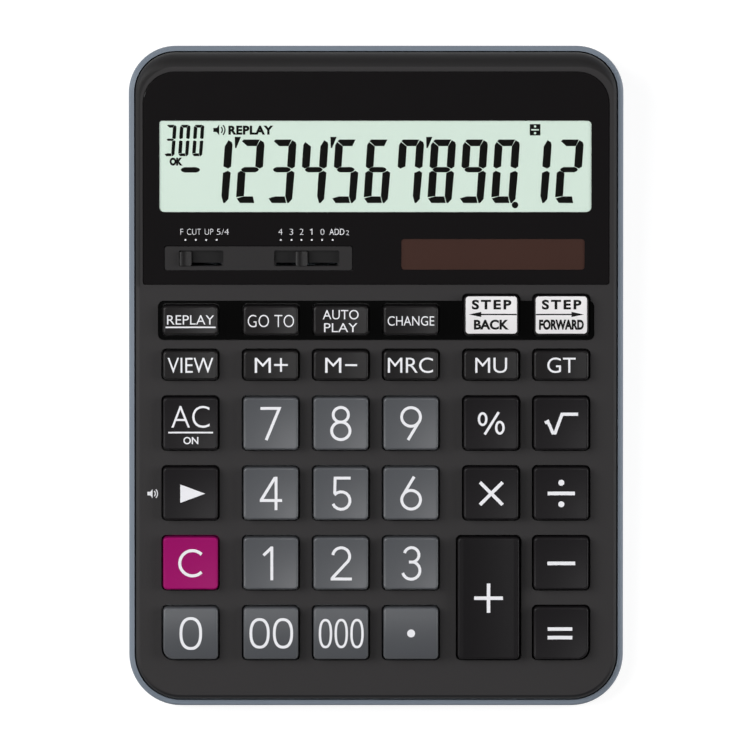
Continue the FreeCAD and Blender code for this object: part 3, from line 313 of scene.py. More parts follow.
def blend(tree, factor, first, second):
    """A colour on the way from the first to the second."""
    mix = add_node(tree, "ShaderNodeMix", {"Factor": factor, "A": first, "B": second}, data_type="RGBA")
    return mix.outputs["Result"]


def finish(name, colour, roughness, grain, relief, drift=0.04, **sockets):
    """A surface with a grain and a relief in millimetres and a slow drift in its colour."""
    material = bpy.data.materials.new(name)
    material.use_nodes = True
    tree = material.node_tree
    shader = tree.nodes["Principled BSDF"]
    place = add_node(tree, "ShaderNodeTexCoord").outputs["Object"]
    fine = add_node(tree, "ShaderNodeTexNoise", {"Vector": place, "Scale": 1 / (grain * MM), "Detail": 3.0})
    slow = add_node(tree, "ShaderNodeTexNoise", {"Vector": place, "Scale": 1 / (DRIFT * MM), "Detail": 2.0})
    tint = blend(tree, slow.outputs["Fac"], shaded(colour, 1 - drift), shaded(colour, 1 + drift))
    tree.links.new(tint, shader.inputs["Base Color"])
    gloss = add_node(tree, "ShaderNodeMapRange", {
        "Value": fine.outputs["Fac"],
        "To Min": roughness * (1 - GLOSS_DRIFT),
        "To Max": min(1.0, roughness * (1 + GLOSS_DRIFT)),
    })
    tree.links.new(gloss.outputs["Result"], shader.inputs["Roughness"])
    bump = add_node(tree, "ShaderNodeBump", {"Height": fine.outputs["Fac"], "Distance": relief * MM})
    tree.links.new(bump.outputs["Normal"], shader.inputs["Normal"])
    for socket, value in sockets.items():
        shader.inputs[socket.replace("_", " ")].default_value = value
    return material


def abs_plastic(name, colour, roughness, grain, relief, shine=0.5):
    """Moulded ABS, with its shine turned down where it is dull."""
    return finish(name, colour, roughness, grain, relief, IOR=ABS_IOR, Specular_IOR_Level=shine)


# ABS moulded in a finely spark-eroded tool: satin, with an even grain that scatters the
# shine. The grain of about 0.1 mm is drawn at 0.4 mm, because it is too fine to show otherwise.
charcoal_abs = abs_plastic("charcoal_abs", "#242223", 0.6, 0.4, 0.012, 0.3)
blue_grey_abs = abs_plastic("blue_grey_abs", "#78828E", 0.5, 0.4, 0.012, 0.3)
knob_abs = abs_plastic("knob_abs", "#0E0C0D", 0.45, 0.4, 0.006, 0.3)
# Near-black ABS for the sheets that paint shade on the floors of the switch slots.
slot_shade_abs = abs_plastic("slot_shade_abs", "#050405", 0.6, 0.4, 0.006, 0.27)
# ABS from a smoother cavity: the keys are slicker than the deck round them.
grey_key_abs = abs_plastic("grey_key_abs", "#4A4C50", 0.42, 0.5, 0.004)
black_key_abs = abs_plastic("black_key_abs", "#181618", 0.42, 0.5, 0.004, 0.15)
# The tall plus key is the same black ABS, coloured darker as painted shade that takes down the sheen it
# catches.
tall_key_abs = abs_plastic("tall_key_abs", "#121012", 0.42, 0.5, 0.004, 0.15)
magenta_key_abs = abs_plastic("magenta_key_abs", "#92105F", 0.42, 0.5, 0.004, 0.06)
memory_key_abs = abs_plastic("memory_key_abs", "#141213", 0.38, 0.5, 0.003, 0.25)
function_key_abs = abs_plastic("function_key_abs", "#151314", 0.34, 0.5, 0.002, 0.24)
# ABS with a polished face: a black inlay that mirrors softly.
bezel_abs = abs_plastic("bezel_abs", "#030303", 0.08, 3.0, 0.001, 0.3)
# Cast acrylic, polished: black print seen through it, and clear where it glazes a window.
printed_acrylic = finish("printed_acrylic", "#110F10", 0.1, 6.0, 0.001, IOR=ACRYLIC_IOR)
clear_acrylic = finish("clear_acrylic", "#0C0C0C", 0.08, 6.0, 0.001, IOR=ACRYLIC_IOR, Alpha=0.03)
# Liquid-crystal cell: a pale green reflector with a fine tooth, and dark segments.
display_film = finish("display_film", "#D9ECDF", 0.5, 0.3, 0.002, 0.012, IOR=GLASS_IOR)
display_segment = finish(
    "display_segment", "#040502", 0.6, 0.3, 0.001, 0.05, IOR=GLASS_IOR, Specular_IOR_Level=0.1)
# Amorphous silicon under a clear cover: a dark red-brown film.
silicon_film = finish(
    "silicon_film", "#3B221A", 0.5, 0.6, 0.001, 0.05, IOR=GLASS_IOR, Specular_IOR_Level=0.2)
# Pad-printed ink, and lacquer on the two white keys: thin films that level out.
white_ink = finish("white_ink", "#E4E4E8", 0.5, 0.3, 0.003, 0.015)
black_ink = finish("black_ink", "#040404", 0.5, 0.3, 0.003, 0.05, Specular_IOR_Level=0.15)
white_lacquer = finish("white_lacquer", "#E1DFE0", 0.4, 0.5, 0.003, 0.01)
# Inside: pressed silicone, glass-epoxy board, film, wire and epoxy.
silicone = finish("silicone_rubber", "#9C9E9E", 0.7, 0.6, 0.01)
board = finish("glass_epoxy_board", "#3C7444", 0.45, 0.5, 0.01)
film = finish("polyimide_film", "#C08A3C", 0.3, 0.6, 0.003)
wire = finish("pvc_wire", "#A62A22", 0.45, 0.5, 0.004)
epoxy = finish("epoxy_drop", "#141314", 0.2, 1.0, 0.004)
# Rolled and plated metals: fine rolling marks under a soft shine.
bronze = finish("phosphor_bronze", "#C79A5A", 0.3, 0.4, 0.003, Metallic=1.0)
nickel = finish("nickel_steel", "#BDBDBF", 0.25, 0.3, 0.003, Metallic=1.0)
brass = finish("brass_sheet", "#D0AC62", 0.3, 0.3, 0.003, Metallic=1.0)
zinc = finish("zinc_plated_steel", "#AEB0B3", 0.35, 0.3, 0.004, Metallic=1.0)
# Moulded rubber: dull and slightly rough.
rubber = finish("foot_rubber", "#232323", 0.8, 0.5, 0.02)

# The shoulder that falls away round the display has painted shade: it is coloured darker
# than the deck, and a lip as pale as the deck stays between it and the panel. The deck
# round the switches, in the panel's opening, is coloured a little darker. The case's edge
# has painted shade along its seam with the tray.
LIP_MIDDLE, LIP_SIZE, LIP_CORNER = (0.6, 0.0), (134.8, 174.8), 10.0
SWITCH_MIDDLE, SWITCH_SIZE, SWITCH_CORNER = (-33.33, 33.23), (53.3, 7.1), 0.7
SEAM_MIDDLE, SEAM_SIZE, SEAM_CORNER = (-0.2, 0.0), (135.4, 181.2), 12.4
EDGE_BLUR = 0.15
FOLD_BLUR = 1.0


def plan_axes(tree):
    """Sockets with a point's X and Y on the object."""
    place = add_node(tree, "ShaderNodeTexCoord").outputs["Object"]
    split = add_node(tree, "ShaderNodeSeparateXYZ", {"Vector": place})
    return split.outputs["X"], split.outputs["Y"]


def past_box(tree, axes, middle, size, corner):
    """A socket with the distance past the straight middle of a round-cornered box, seen in plan."""
    beyond = []
    for axis, centre, length in zip(axes, middle, size):
        reach = reckon(tree, "ABSOLUTE", reckon(tree, "SUBTRACT", axis, centre * MM))
        past = reckon(tree, "SUBTRACT", reach, (length / 2 - corner) * MM)
        beyond.append(reckon(tree, "MAXIMUM", past, 0.0))
    joined = add_node(tree, "ShaderNodeCombineXYZ", {"X": beyond[0], "Y": beyond[1]})
    far = add_node(tree, "ShaderNodeVectorMath", {0: joined.outputs["Vector"]}, operation="LENGTH")
    return far.outputs["Value"]


def outside(tree, axes, middle, size, corner):
    """A socket that is 0 inside a round-cornered box and 1 outside it."""
    step = add_node(tree, "ShaderNodeMapRange", {
        "Value": past_box(tree, axes, middle, size, corner),
        "From Min": (corner - EDGE_BLUR) * MM,
        "From Max": (corner + EDGE_BLUR) * MM,
    })
    return step.outputs["Result"]


def darken_case(material, shoulder, switch_deck, seam):
    """Paint shade on the case outside the lip behind the fold and at its seam, and darken it round the
    switches.
    """
    tree = material.node_tree
    base = tree.nodes["Principled BSDF"].inputs["Base Color"]
    plain = base.links[0].from_socket
    axes = plan_axes(tree)
    behind = add_node(tree, "ShaderNodeMapRange", {
        "Value": axes[1],
        "From Min": FOLD.y * MM,
        "From Max": (FOLD.y + FOLD_BLUR) * MM,
    })
    off_lip = outside(tree, axes, LIP_MIDDLE, LIP_SIZE, LIP_CORNER)
    off_switches = outside(tree, axes, SWITCH_MIDDLE, SWITCH_SIZE, SWITCH_CORNER)
    off_seam = outside(tree, axes, SEAM_MIDDLE, SEAM_SIZE, SEAM_CORNER)
    deck = blend(tree, off_switches, linear(switch_deck), plain)
    top = blend(tree, reckon(tree, "MULTIPLY", off_lip, behind.outputs["Result"]), deck, linear(shoulder))
    tree.links.new(blend(tree, off_seam, top, linear(seam)), base)


# Painted shade on the shoulder and along the seam, and a darker colour round the switches.
darken_case(charcoal_abs, "#0C0A0B", "#1D1B1C", "#06060A")


def relieve(material, height):
    """Lay a relief, a height in metres, under a finish's grain."""
    tree = material.node_tree
    bump = add_node(tree, "ShaderNodeBump", {"Height": height, "Distance": 1.0})
    tree.links.new(bump.outputs["Normal"], tree.nodes["Bump"].inputs["Normal"])


# The rim of the tray falls away slightly to the outside.
RIM_SIZE, RIM_CORNER = (140.0, 186.9), 14.0
RIM_FALL = 0.22
tree = blue_grey_abs.node_tree
past_rim = past_box(tree, plan_axes(tree), (0.0, 0.0), RIM_SIZE, RIM_CORNER)
relieve(blue_grey_abs, reckon(tree, "MULTIPLY", past_rim, -RIM_FALL))

NODE_FINISHES = {
    charcoal_abs: ["upper_case"],
    blue_grey_abs: ["lower_case"],
    bezel_abs: ["function_key_bezel"],
    function_key_abs: ["key_replay", "key_go_to", "key_auto_play", "key_correct", "key_step_back",
                       "key_step_forward"],
    memory_key_abs: ["key_display", "key_m_plus", "key_m_minus", "key_m_recall", "key_mark_up",
                     "key_grand_total"],
    grey_key_abs: [f"key_{name}" for name in list("0123456789") + ["00", "000", "point"]],
    black_key_abs: ["key_all_clear", "key_backspace", "key_percent", "key_root", "key_times",
                    "key_divide", "key_minus", "key_equals"],
    tall_key_abs: ["key_plus"],
    magenta_key_abs: ["key_clear"],
    knob_abs: ["rounding_slider", "decimal_slider"],
    printed_acrylic: ["display_panel"],
    display_film: ["lcd_cell"],
    silicon_film: ["solar_cell"],
    silicone: ["key_mat"],
    board: ["main_board", "display_board"],
    film: ["lcd_ribbon", "board_ribbon"],
    wire: ["solar_leads", "buzzer_leads"],
    bronze: ["rounding_wiper", "decimal_wiper"],
    nickel: ["button_cell", "battery_contacts"],
    brass: ["buzzer_disc"],
    epoxy: ["chip_blob"],
    zinc: ["case_screws", "board_screws"],
    rubber: ["rubber_feet"],
}
for material, names in NODE_FINISHES.items():
    for name in names:
        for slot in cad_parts[name].material_slots:
            slot.material = material


# Keys: a legend lies in the hollow of each top, printed a little left of its middle

KEY_TOP = 2.3
DISH_RADIUS = 85.0
KEY_REACH = 9
COLUMNS = [-52.58, -29.83, -10.0, 9.83, 32.58, 52.41]
ROWS = [15.86, 3.16, -13.39, -33.19, -52.99, -72.79]
WHITE_ROW = 17.21
TALL_ROW = -62.89
TALL_SHIFT = -0.73
ROW_PITCH = 19.8
COLUMN_PITCH = 19.83
COLUMN_SPLIT = -41.2
SCULPT_RADIUS = 70.0
ROLL_RADIUS = 36.0
ROLL_SHIFT = 2.0
PRINT_SHIFT = -0.15
PEN = 0.81
HAIR = 0.004


def key_frame(column, plan_y, shift=0.0, level=0.0):
    """The middle of a key's top, as seen from above, with the hollow's lowest line at the given level."""
    along = up_deck(plan_y, KEY_SLOPE, KEY_TOP)
    return KEY_DECK @ Matrix.Translation(Vector((COLUMNS[column] + shift, along, KEY_TOP + level)) * MM)


def wrapped(tree, value, centre, pitch):
    """A socket with the offset from the nearest of a row of centres."""
    offset = reckon(tree, "SUBTRACT", value, centre * MM)
    return reckon(tree, "WRAP", offset, pitch / 2 * MM, -pitch / 2 * MM)


def parabola(tree, offset, radius):
    """A socket with the height of a trough; a negative radius makes a ridge."""
    square = reckon(tree, "MULTIPLY", offset, offset)
    return reckon(tree, "MULTIPLY", square, 1 / (2 * radius * MM))


def sculpt(material, rolled=False):
    """Relief on the main keys: hollow from front to rear, or in the last row rolled to the user."""
    tree = material.node_tree
    across, rearward = plan_axes(tree)
    along = wrapped(tree, rearward, ROWS[2], ROW_PITCH)
    height = parabola(tree, along, SCULPT_RADIUS)
    if rolled:
        first = reckon(tree, "LESS_THAN", across, COLUMN_SPLIT * MM)
        step = (COLUMNS[1] - COLUMNS[0] - COLUMN_PITCH) * MM
        even = reckon(tree, "MULTIPLY_ADD", first, step, across)
        level = parabola(tree, wrapped(tree, even, COLUMNS[1], COLUMN_PITCH), -DISH_RADIUS)
        roll = parabola(tree, reckon(tree, "SUBTRACT", along, ROLL_SHIFT * MM), -ROLL_RADIUS)
        height = add_node(tree, "ShaderNodeMix", {
            "Factor": reckon(tree, "LESS_THAN", rearward, TALL_ROW * MM),
            "A": height,
            "B": reckon(tree, "ADD", level, roll),
        }, data_type="FLOAT").outputs["Result"]
    relieve(material, height)


# The noughts and the point roll over towards the user, and are level from side to side.
sculpt(grey_key_abs, rolled=True)
sculpt(black_key_abs)
sculpt(magenta_key_abs)


def dish(piece):
    """Curve a flat sheet to the hollow of a key's top, a trough along the deck."""
    alone(piece)
    bpy.ops.object.mode_set(mode="EDIT")
    for across in range(-KEY_REACH, KEY_REACH + 1):
        bpy.ops.mesh.select_all(action="SELECT")
        bpy.ops.mesh.bisect(plane_co=(across * MM, 0.0, 0.0), plane_no=(1.0, 0.0, 0.0))
    bpy.ops.object.mode_set(mode="OBJECT")
    for vertex in piece.data.vertices:
        vertex.co.z += vertex.co.x ** 2 / (2 * DISH_RADIUS * MM)


def legend(key, place, marks, ink=white_ink):
    """Print marks on a key, each a hair above the last, so that no two faces share a plane."""
    for number, mark in enumerate(marks):
        raise_mesh(mark, number * HAIR)
    piece = join(f"legend_{key}", marks)
    piece.data.transform(Matrix.Translation((PRINT_SHIFT * MM, 0.0, 0.0)))
    dish(piece)
    settle(piece, place, f"key_{key}", ink)


def pen(*strokes, shift):
    """Strokes of a digit."""
    return [line(points, PEN, shift) for points in strokes]


# Round digits, drawn with a pen of even width about the middle of each key.
legend("1", key_frame(1, ROWS[4]), pen(
    [(0.43, 4.8), (0.43, -4.8)],
    [(-1.95, 2.3), (0.3, 4.4)],
    shift=(0.0, -0.2)))
legend("2", key_frame(2, ROWS[4]), pen(
    arc((0.0, 2.05), 2.4, 172, -36) + [(-2.6, -4.25)],
    [(-3.0, -4.45), (3.0, -4.45)],
    shift=(0.27, -0.18)))
legend("3", key_frame(3, ROWS[4]), pen(
    arc((0.05, 2.38), 2.08, 165, -78),
    arc((-0.08, -2.05), 2.5, 82, -163),
    [(-0.7, 0.34), (0.6, 0.34)],
    shift=(0.33, -0.15)))
legend("4", key_frame(1, ROWS[3]), pen(
    [(1.44, 4.75), (1.44, -4.75)],
    [(-3.15, -2.0), (3.15, -2.0)],
    [(-2.85, -2.0), (1.2, 4.55)],
    shift=(0.19, -0.16)))
legend("5", key_frame(2, ROWS[3]), pen(
    [(2.66, 4.4), (-1.72, 4.4), (-1.84, 0.0)],
    arc((-0.01, -2.0), 2.5, 140, -158),
    shift=(0.27, -0.19)))
BOWL = (3.06, 3.06)
BOWL_DROP = 1.81
TAIL = [(-2.25, -0.45), (0.85, 4.75)]
for key, row, turn, shift in [("6", 3, 1, (0.24, -0.14)), ("9", 2, -1, (0.22, -0.08))]:
    legend(key, key_frame(3, ROWS[row]), [
        ring((shift[0], shift[1] - turn * BOWL_DROP), BOWL, PEN),
        line([(turn * x, turn * y) for x, y in TAIL], PEN, shift),
    ])
legend("7", key_frame(1, ROWS[2]), pen(
    [(-2.95, 4.3), (2.4, 4.3), (-1.3, -4.72)],
    shift=(0.16, -0.14)))
legend("8", key_frame(2, ROWS[2]), [
    ring((0.16, 2.34), (2.55, 2.5), PEN),
    ring((0.16, -2.22), (3.0, 2.9), PEN),
])
FULL = 0.85
ZEROS = [
    ("0", 0, (0.2, -0.28), (3.2, 4.68), PEN, [0.0]),
    ("00", 1, (0.27, -0.22), (2.86, 4.34), 0.78, [-3.32, 3.32]),
    ("000", 2, (0.27, -0.28), (1.9, 4.18), 0.68, [-4.47, 0.0, 4.47]),
]
for key, column, (x, y), radii, width, steps in ZEROS:
    legend(key, key_frame(column, ROWS[5]), [ring((x + step, y), radii, width, FULL) for step in steps])
legend("point", key_frame(3, ROWS[5]), [printed(oval((0.24, -0.25), 1.12))])

legend("replay", key_frame(0, ROWS[0]), [
    word("REPLAY", 2.65, (0.2, -0.05), BOOK, 1.04),
    printed(bar((0.2, -2.15), (14.2, 0.42))),
])
legend("go_to", key_frame(1, ROWS[0]), [word("GO TO", 3.55, (0.19, -0.36), SEMI, 0.8)])
legend("auto_play", key_frame(2, ROWS[0]), [
    word("AUTO", 2.65, (0.13, 1.45), BOOK, 0.95),
    word("PLAY", 2.55, (0.13, -2.25), BOOK, 1.15),
])
legend("correct", key_frame(3, ROWS[0]), [word("CHANGE", 2.65, (0.19, -0.33), BOOK, 0.84)])

legend("display", key_frame(0, ROWS[1]), [word("VIEW", 4.3, (0.15, -0.2), BOOK, 0.86)])
legend("m_plus", key_frame(1, ROWS[1]), [
    word("M", 4.3, (-2.1, -0.2), BOOK, 1.15),
    printed(bar((3.04, -0.1), (3.9, 0.55))),
    printed(bar((3.04, -0.1), (0.55, 3.9))),
])
legend("m_minus", key_frame(2, ROWS[1]), [
    word("M", 4.3, (-1.98, -0.2), BOOK, 1.15),
    printed(bar((3.1, -0.15), (3.4, 0.55))),
])
legend("m_recall", key_frame(3, ROWS[1]), [word("MRC", 4.3, (0.05, -0.18), BOOK, 1.03)])
legend("mark_up", key_frame(4, ROWS[1]), [word("MU", 4.3, (0.16, -0.18), BOOK, 1.06)])
legend("grand_total", key_frame(5, ROWS[1]), [word("GT", 4.3, (0.22, -0.18), BOOK, 1.0)])

legend("all_clear", key_frame(0, ROWS[2]), [
    word("AC", 6.3, (0.15, 1.76), SEMI, 0.9),
    printed(bar((0.2, -2.71), (12.7, 0.46))),
    word("ON", 1.95, (0.26, -5.0), BOLD, 0.98),
])
legend("percent", key_frame(4, ROWS[2]), [
    ring((-2.26, 1.11), (1.38, 1.98), 0.68),
    ring((2.62, -1.33), (1.38, 1.98), 0.68),
    line([(-1.66, -3.25), (2.3, 3.1)], 0.72),
])
ROOT = [(-4.45, 0.02), (-3.6, 0.42), (-2.2, -2.8), (-1.54, -2.8), (0.4, 2.5), (4.95, 2.5)]
legend("root", key_frame(5, ROWS[2]), [line(ROOT, 0.9)])

legend("backspace", key_frame(0, ROWS[3]), [printed([(-2.75, -2.85), (4.3, -0.22), (-2.75, 2.4)])])
legend("times", key_frame(4, ROWS[3]), [
    line([(-3.2, -3.2), (3.2, 3.2)], 0.95, (0.21, -0.19)),
    line([(-3.2, 3.2), (3.2, -3.2)], 0.95, (0.21, -0.19)),
])
legend("divide", key_frame(5, ROWS[3]), [
    printed(bar((0.22, -0.14), (7.7, 1.02))),
    printed(oval((0.22, 2.9), 0.85)),
    printed(oval((0.22, -3.25), 0.85)),
])
legend("clear", key_frame(0, ROWS[4]), [line(arc((0.69, -0.15), 3.6, 44, 316, 30), 0.84)])
legend("minus", key_frame(5, ROWS[4]), [printed(bar((0.22, -0.18), (7.9, 1.02)))])
legend("equals", key_frame(5, ROWS[5]), [printed(bar((-0.14, y), (7.0, 1.0))) for y in (1.0, -1.44)])
legend("plus", key_frame(4, TALL_ROW, TALL_SHIFT), [
    printed(bar((0.17, -0.15), (8.15, 1.0))),
    printed(bar((0.17, -0.15), (1.0, 8.35))),
])

# The two white keys: a lacquered face on a dark key, with an arrow between its words.
FACE = 0.12
FACE_SIZE, FACE_CORNER, FACE_EDGE = (14.5, 10.6), 0.9, 0.08
ARROW = [
    (-6.4, 0.16), (-2.85, 0.9), (-2.85, 0.35), (7.2, 0.35), (7.2, -0.03), (-2.85, -0.03), (-2.85, -0.58),
]
for key, column, lower, side, weight, stretch in [
    ("step_back", 4, "BACK", 1, FIRM, 1.02),
    ("step_forward", 5, "FORWARD", -1, HEAVY, 0.7),
]:
    face = slab(f"face_{key}", (0.05, 0.0), FACE_SIZE, [FACE_CORNER] * 4, -FACE, FACE)
    soften(face, FACE_EDGE)
    dish(face)
    bpy.ops.object.shade_smooth_by_angle(angle=SMOOTH)
    settle(face, key_frame(column, WHITE_ROW), f"key_{key}", white_lacquer)
    legend(key, key_frame(column, WHITE_ROW, level=FACE), [
        word("STEP", 2.45, (0.28, 2.95), FIRM, 1.22, 1.3),
        printed([(x * side + 0.2, y) for x, y in ARROW]),
        word(lower, 2.5, (0.22, -2.75), weight, stretch),
    ], black_ink)


# Display panel: black print behind acrylic, with clear windows

PANEL_WALL = 1.5
PANEL_WIDTH = 131.9
PANEL_FRONT, PANEL_REAR = 25.9, 85.9
PANEL_CORNERS = [0.7, 0.7, 9.0, 9.0]
PANEL_EDGE = 0.12
WINDOWS = [
    ("lcd", (-0.2, 59.23), (122.3, 26.1), [1.4, 1.4, 1.1, 0.8]),
    ("solar", (33.06, 34.36), (52.0, 8.8), [0.9] * 4),
]
FIT = 0.02
PANE_WALL = 0.18
FILM_BOTTOM = -2.4
FILM_TOP = -0.25
FILMS = {"lcd": (display_film, "display_glass"), "solar": (silicon_film, "solar_glass")}


def on_display(plan, level=0.0):
    """A place seen from above as one on the display deck."""
    return plan[0], up_deck(plan[1], DISPLAY_SLOPE, level)


def cut_window(name, middle, size, corners):
    """Cut an opening through the panel."""
    cut(panel, slab(name, on_display(middle), size, corners, -2 * PANEL_WALL, PANEL_WALL))


front, rear = (up_deck(edge, DISPLAY_SLOPE) for edge in (PANEL_FRONT, PANEL_REAR))
panel_middle, panel_size = (0.0, (front + rear) / 2), (PANEL_WIDTH, rear - front)
panel = slab("panel_plate", panel_middle, panel_size, PANEL_CORNERS, -PANEL_WALL, 0.0)
cut_window("switch_opening", SWITCH_MIDDLE, SWITCH_SIZE, [SWITCH_CORNER] * 4)
soften(panel, PANEL_EDGE)
for window in WINDOWS:
    cut_window(*window)
settle(panel, DISPLAY_DECK, "casing", printed_acrylic)
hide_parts("display_panel")

for name, middle, size, corners in WINDOWS:
    inner = [side - 2 * FIT for side in size]
    pane = slab(f"{name}_pane", on_display(middle), inner, corners, -PANE_WALL, 0.0)
    settle(pane, DISPLAY_DECK, "casing", clear_acrylic)
    material, slot = FILMS[name]
    backing = slab(f"{name}_film", on_display(middle), inner, corners, FILM_BOTTOM, FILM_TOP)
    settle(backing, DISPLAY_DECK, "casing", material)


# Liquid-crystal segments

DIGIT_WIDTH, DIGIT_HEIGHT = 7.05, 17.95
UPRIGHT, LEVEL_BAR = 2.2, 1.86
WAIST = 0.525
SLANT = 0.066
DIGIT_PITCH = 9.03
DIGIT_BASE = 48.9
LAST_DIGIT = 58.8
SEGMENTS = {
    "0": "abcdef", "1": "bc", "2": "abdeg", "3": "abcdg", "4": "bcfg", "5": "acdfg",
    "6": "acdefg", "7": "abcf", "8": "abcdefg", "9": "abcdfg",
}


def lens(centre, size):
    """A bar with blunt ends, as the middle segment and the minus sign have."""
    x, y = size[0] / 2, size[1] / 2
    upper = [(-x, 0.0), (-0.87 * x, 0.6 * y), (-0.6 * x, y), (0.6 * x, y), (0.87 * x, 0.6 * y), (x, 0.0)]
    loop = upper + [(across, -along) for across, along in upper[-2:0:-1]]
    return [(centre[0] + across, centre[1] + along) for across, along in loop]


def segment_outlines(width, height, upright, level, gap):
    """The seven segments of a digit from its lower left corner; uprights go from their outer edge."""
    middle = WAIST * height
    half = level * 0.4
    under = height - level
    above = [
        (upright, middle + half + 1.4 * gap),
        (upright * 0.37, middle + 2.6 * gap),
        (0.0, middle + half + gap),
    ]
    below = [(x, 2 * middle - y) for x, y in above]
    brow = [(0.0, height - level * 0.85), (upright * 0.22, height - level * 0.37), (upright, under - gap)]
    crown = [
        (0.0, height - level * 0.8),
        (upright * 0.12, height - level * 0.4),
        (upright * 0.56, height - level * 0.1),
        (upright, under - gap),
    ]
    heel = [(0.0, level * 0.87), (upright, level + gap)]
    foot = [
        (upright * 0.08, level * 0.6),
        (upright * 0.5, 0.0),
        (upright * 0.7, 0.0),
        (upright, level + gap),
    ]
    return {
        "a": [
            (upright * 0.27, height - level * 0.25),
            (upright * 0.49, height),
            (width - upright * 0.64, height),
            (width - upright, under),
            (upright, under),
        ],
        "b": [(width - x, y) for x, y in above + crown],
        "c": [(width - x, y) for x, y in below + foot],
        "d": [
            (upright * 0.07, level * 0.7),
            (upright * 0.54, 0.0),
            (width - upright * 0.82, 0.0),
            (width - upright - gap, level),
            (upright * 0.91, level),
        ],
        "e": below + heel,
        "f": above + brow,
        "g": lens((width / 2 - upright * 0.05, middle), (width - upright * 0.9, 2 * half)),
    }


def digit_outlines(digit, corner, shapes):
    """The segments that show a digit, leaning to the right."""
    return [[(corner[0] + x + SLANT * y, corner[1] + y) for x, y in shapes[segment]]
            for segment in SEGMENTS[digit]]


NUMBER = "123456789012"
GAP = 0.12
outlines = []
shapes = segment_outlines(DIGIT_WIDTH, DIGIT_HEIGHT, UPRIGHT, LEVEL_BAR, GAP)
first_left = LAST_DIGIT - SLANT * DIGIT_HEIGHT - DIGIT_WIDTH - DIGIT_PITCH * (len(NUMBER) - 1)
for place, digit in enumerate(NUMBER):
    outlines += digit_outlines(digit, (first_left + DIGIT_PITCH * place, DIGIT_BASE), shapes)
# A small step counter at the upper left.
COUNT_LEFT, COUNT_BASE, COUNT_PITCH = -59.97, 62.15, 3.93
COUNT_WIDTH, COUNT_HEIGHT = 2.95, 8.85
COUNT_UPRIGHT, COUNT_LEVEL, COUNT_GAP = 1.0, 0.8, 0.07
shapes = segment_outlines(COUNT_WIDTH, COUNT_HEIGHT, COUNT_UPRIGHT, COUNT_LEVEL, COUNT_GAP)
for place, digit in enumerate("300"):
    outlines += digit_outlines(digit, (COUNT_LEFT + COUNT_PITCH * place, COUNT_BASE), shapes)
# Ticks that part the thousands, the minus sign, the decimal point and the signs in the top row.
TICK = [(0.05, 3.15), (1.8, 3.15), (0.5, 0.0), (0.1, 0.0)]
TICK_LEFT, TICK_BASE = -40.05, 64.45
for place in (0, 3, 6):
    outlines.append([(TICK_LEFT + DIGIT_PITCH * place + x, TICK_BASE + y) for x, y in TICK])
outlines.append(lens((-52.57, 58.27), (5.55, 1.5)))
outlines.append(oval((39.33, 48.33), 0.92))
outlines += speaker((-44.4, 69.55), 3.2)
SIGN = (45.0, 69.6)
sign = [bar(SIGN, (3.0, 3.2)), bar(SIGN, (2.2, 0.4))]
sign += [oval((SIGN[0], SIGN[1] + step), 0.33) for step in (-0.95, 0.95)]


def on_film(outline):
    """An outline on the film under the pane."""
    return [on_display(point, FILM_TOP) for point in outline]


marks = [printed(on_film(outline)) for outline in outlines]
marks.append(printed(*(on_film(outline) for outline in sign)))
marks.append(word("REPLAY", 2.25, on_display((-35.45, 69.5), FILM_TOP), HEAVY, 1.04, 1.1))
marks.append(word("OK", 1.85, on_display((-56.6, 60.6), FILM_TOP), BLACK, 0.8))
segments = join("lcd_segments", marks)
raise_mesh(segments, FILM_TOP)
settle(segments, DISPLAY_DECK, "casing", display_segment)


# Print on the panel and the deck

SWITCH_WORDS = [
    ("F", -55.0, 0.95), ("CUT", -51.55, 0.8), ("UP", -47.3, 0.85), ("5/4", -43.4, 1.13), ("4", -27.1, 1.05),
    ("3", -24.0, 1.2), ("2", -21.1, 1.1), ("0", -15.2, 1.05),
]
SWITCH_DOTS = [-54.0, -51.05, -48.1, -45.15, -27.0, -23.95, -21.15, -18.2, -15.3, -12.3]
WORD_ROW, WORD_CAP = 40.75, 1.75
DOT_ROW, DOT = 38.45, 0.26
ONE = [(-0.5, 0.45), (0.05, 0.76), (0.05, -0.87)]
marks = [printed(oval(on_display((x, DOT_ROW)), DOT)) for x in SWITCH_DOTS]
for letters, x, stretch in SWITCH_WORDS:
    marks.append(word(letters, WORD_CAP, on_display((x, WORD_ROW)), LIGHT, stretch))
marks.append(word("ADD", WORD_CAP, on_display((-11.1, WORD_ROW)), BOOK, 0.78))
marks.append(word("2", 1.35, on_display((-8.1, 40.5)), LIGHT, 1.1))
marks.append(line(ONE, 0.24, on_display((-18.2, WORD_ROW))))
settle(join("panel_print", marks), DISPLAY_DECK, "casing", white_ink)

marks = []
for outline in speaker((-63.35, -33.4), 2.8):
    marks.append(printed([(x, up_deck(y, KEY_SLOPE)) for x, y in outline]))
settle(join("sound_mark", marks), KEY_DECK, "casing", white_ink)

# Near-black sheets on the floors of the two switch slots, beside the slits for the stems: painted shade in
# the slots.
SLOT_FLOOR = -1.1
SLOT_DEPTH = 4.5
SLIT = 0.9
PLATE = 0.08
PLATE_CORNER = 0.4
for name, middle, length in [("rounding_slot_shade", -49.525, 12.55), ("decimal_slot_shade", -19.625, 18.45)]:
    along = up_deck(SWITCH_MIDDLE[1], DISPLAY_SLOPE) + SLIT / 2
    size = (length - 2 * FIT, SLOT_DEPTH - SLIT - 2 * FIT)
    plate = slab(name, (middle, along), size, [PLATE_CORNER] * 4, SLOT_FLOOR, SLOT_FLOOR + PLATE)
    settle(plate, DISPLAY_DECK, "casing", slot_shade_abs)


# Floor, light and camera

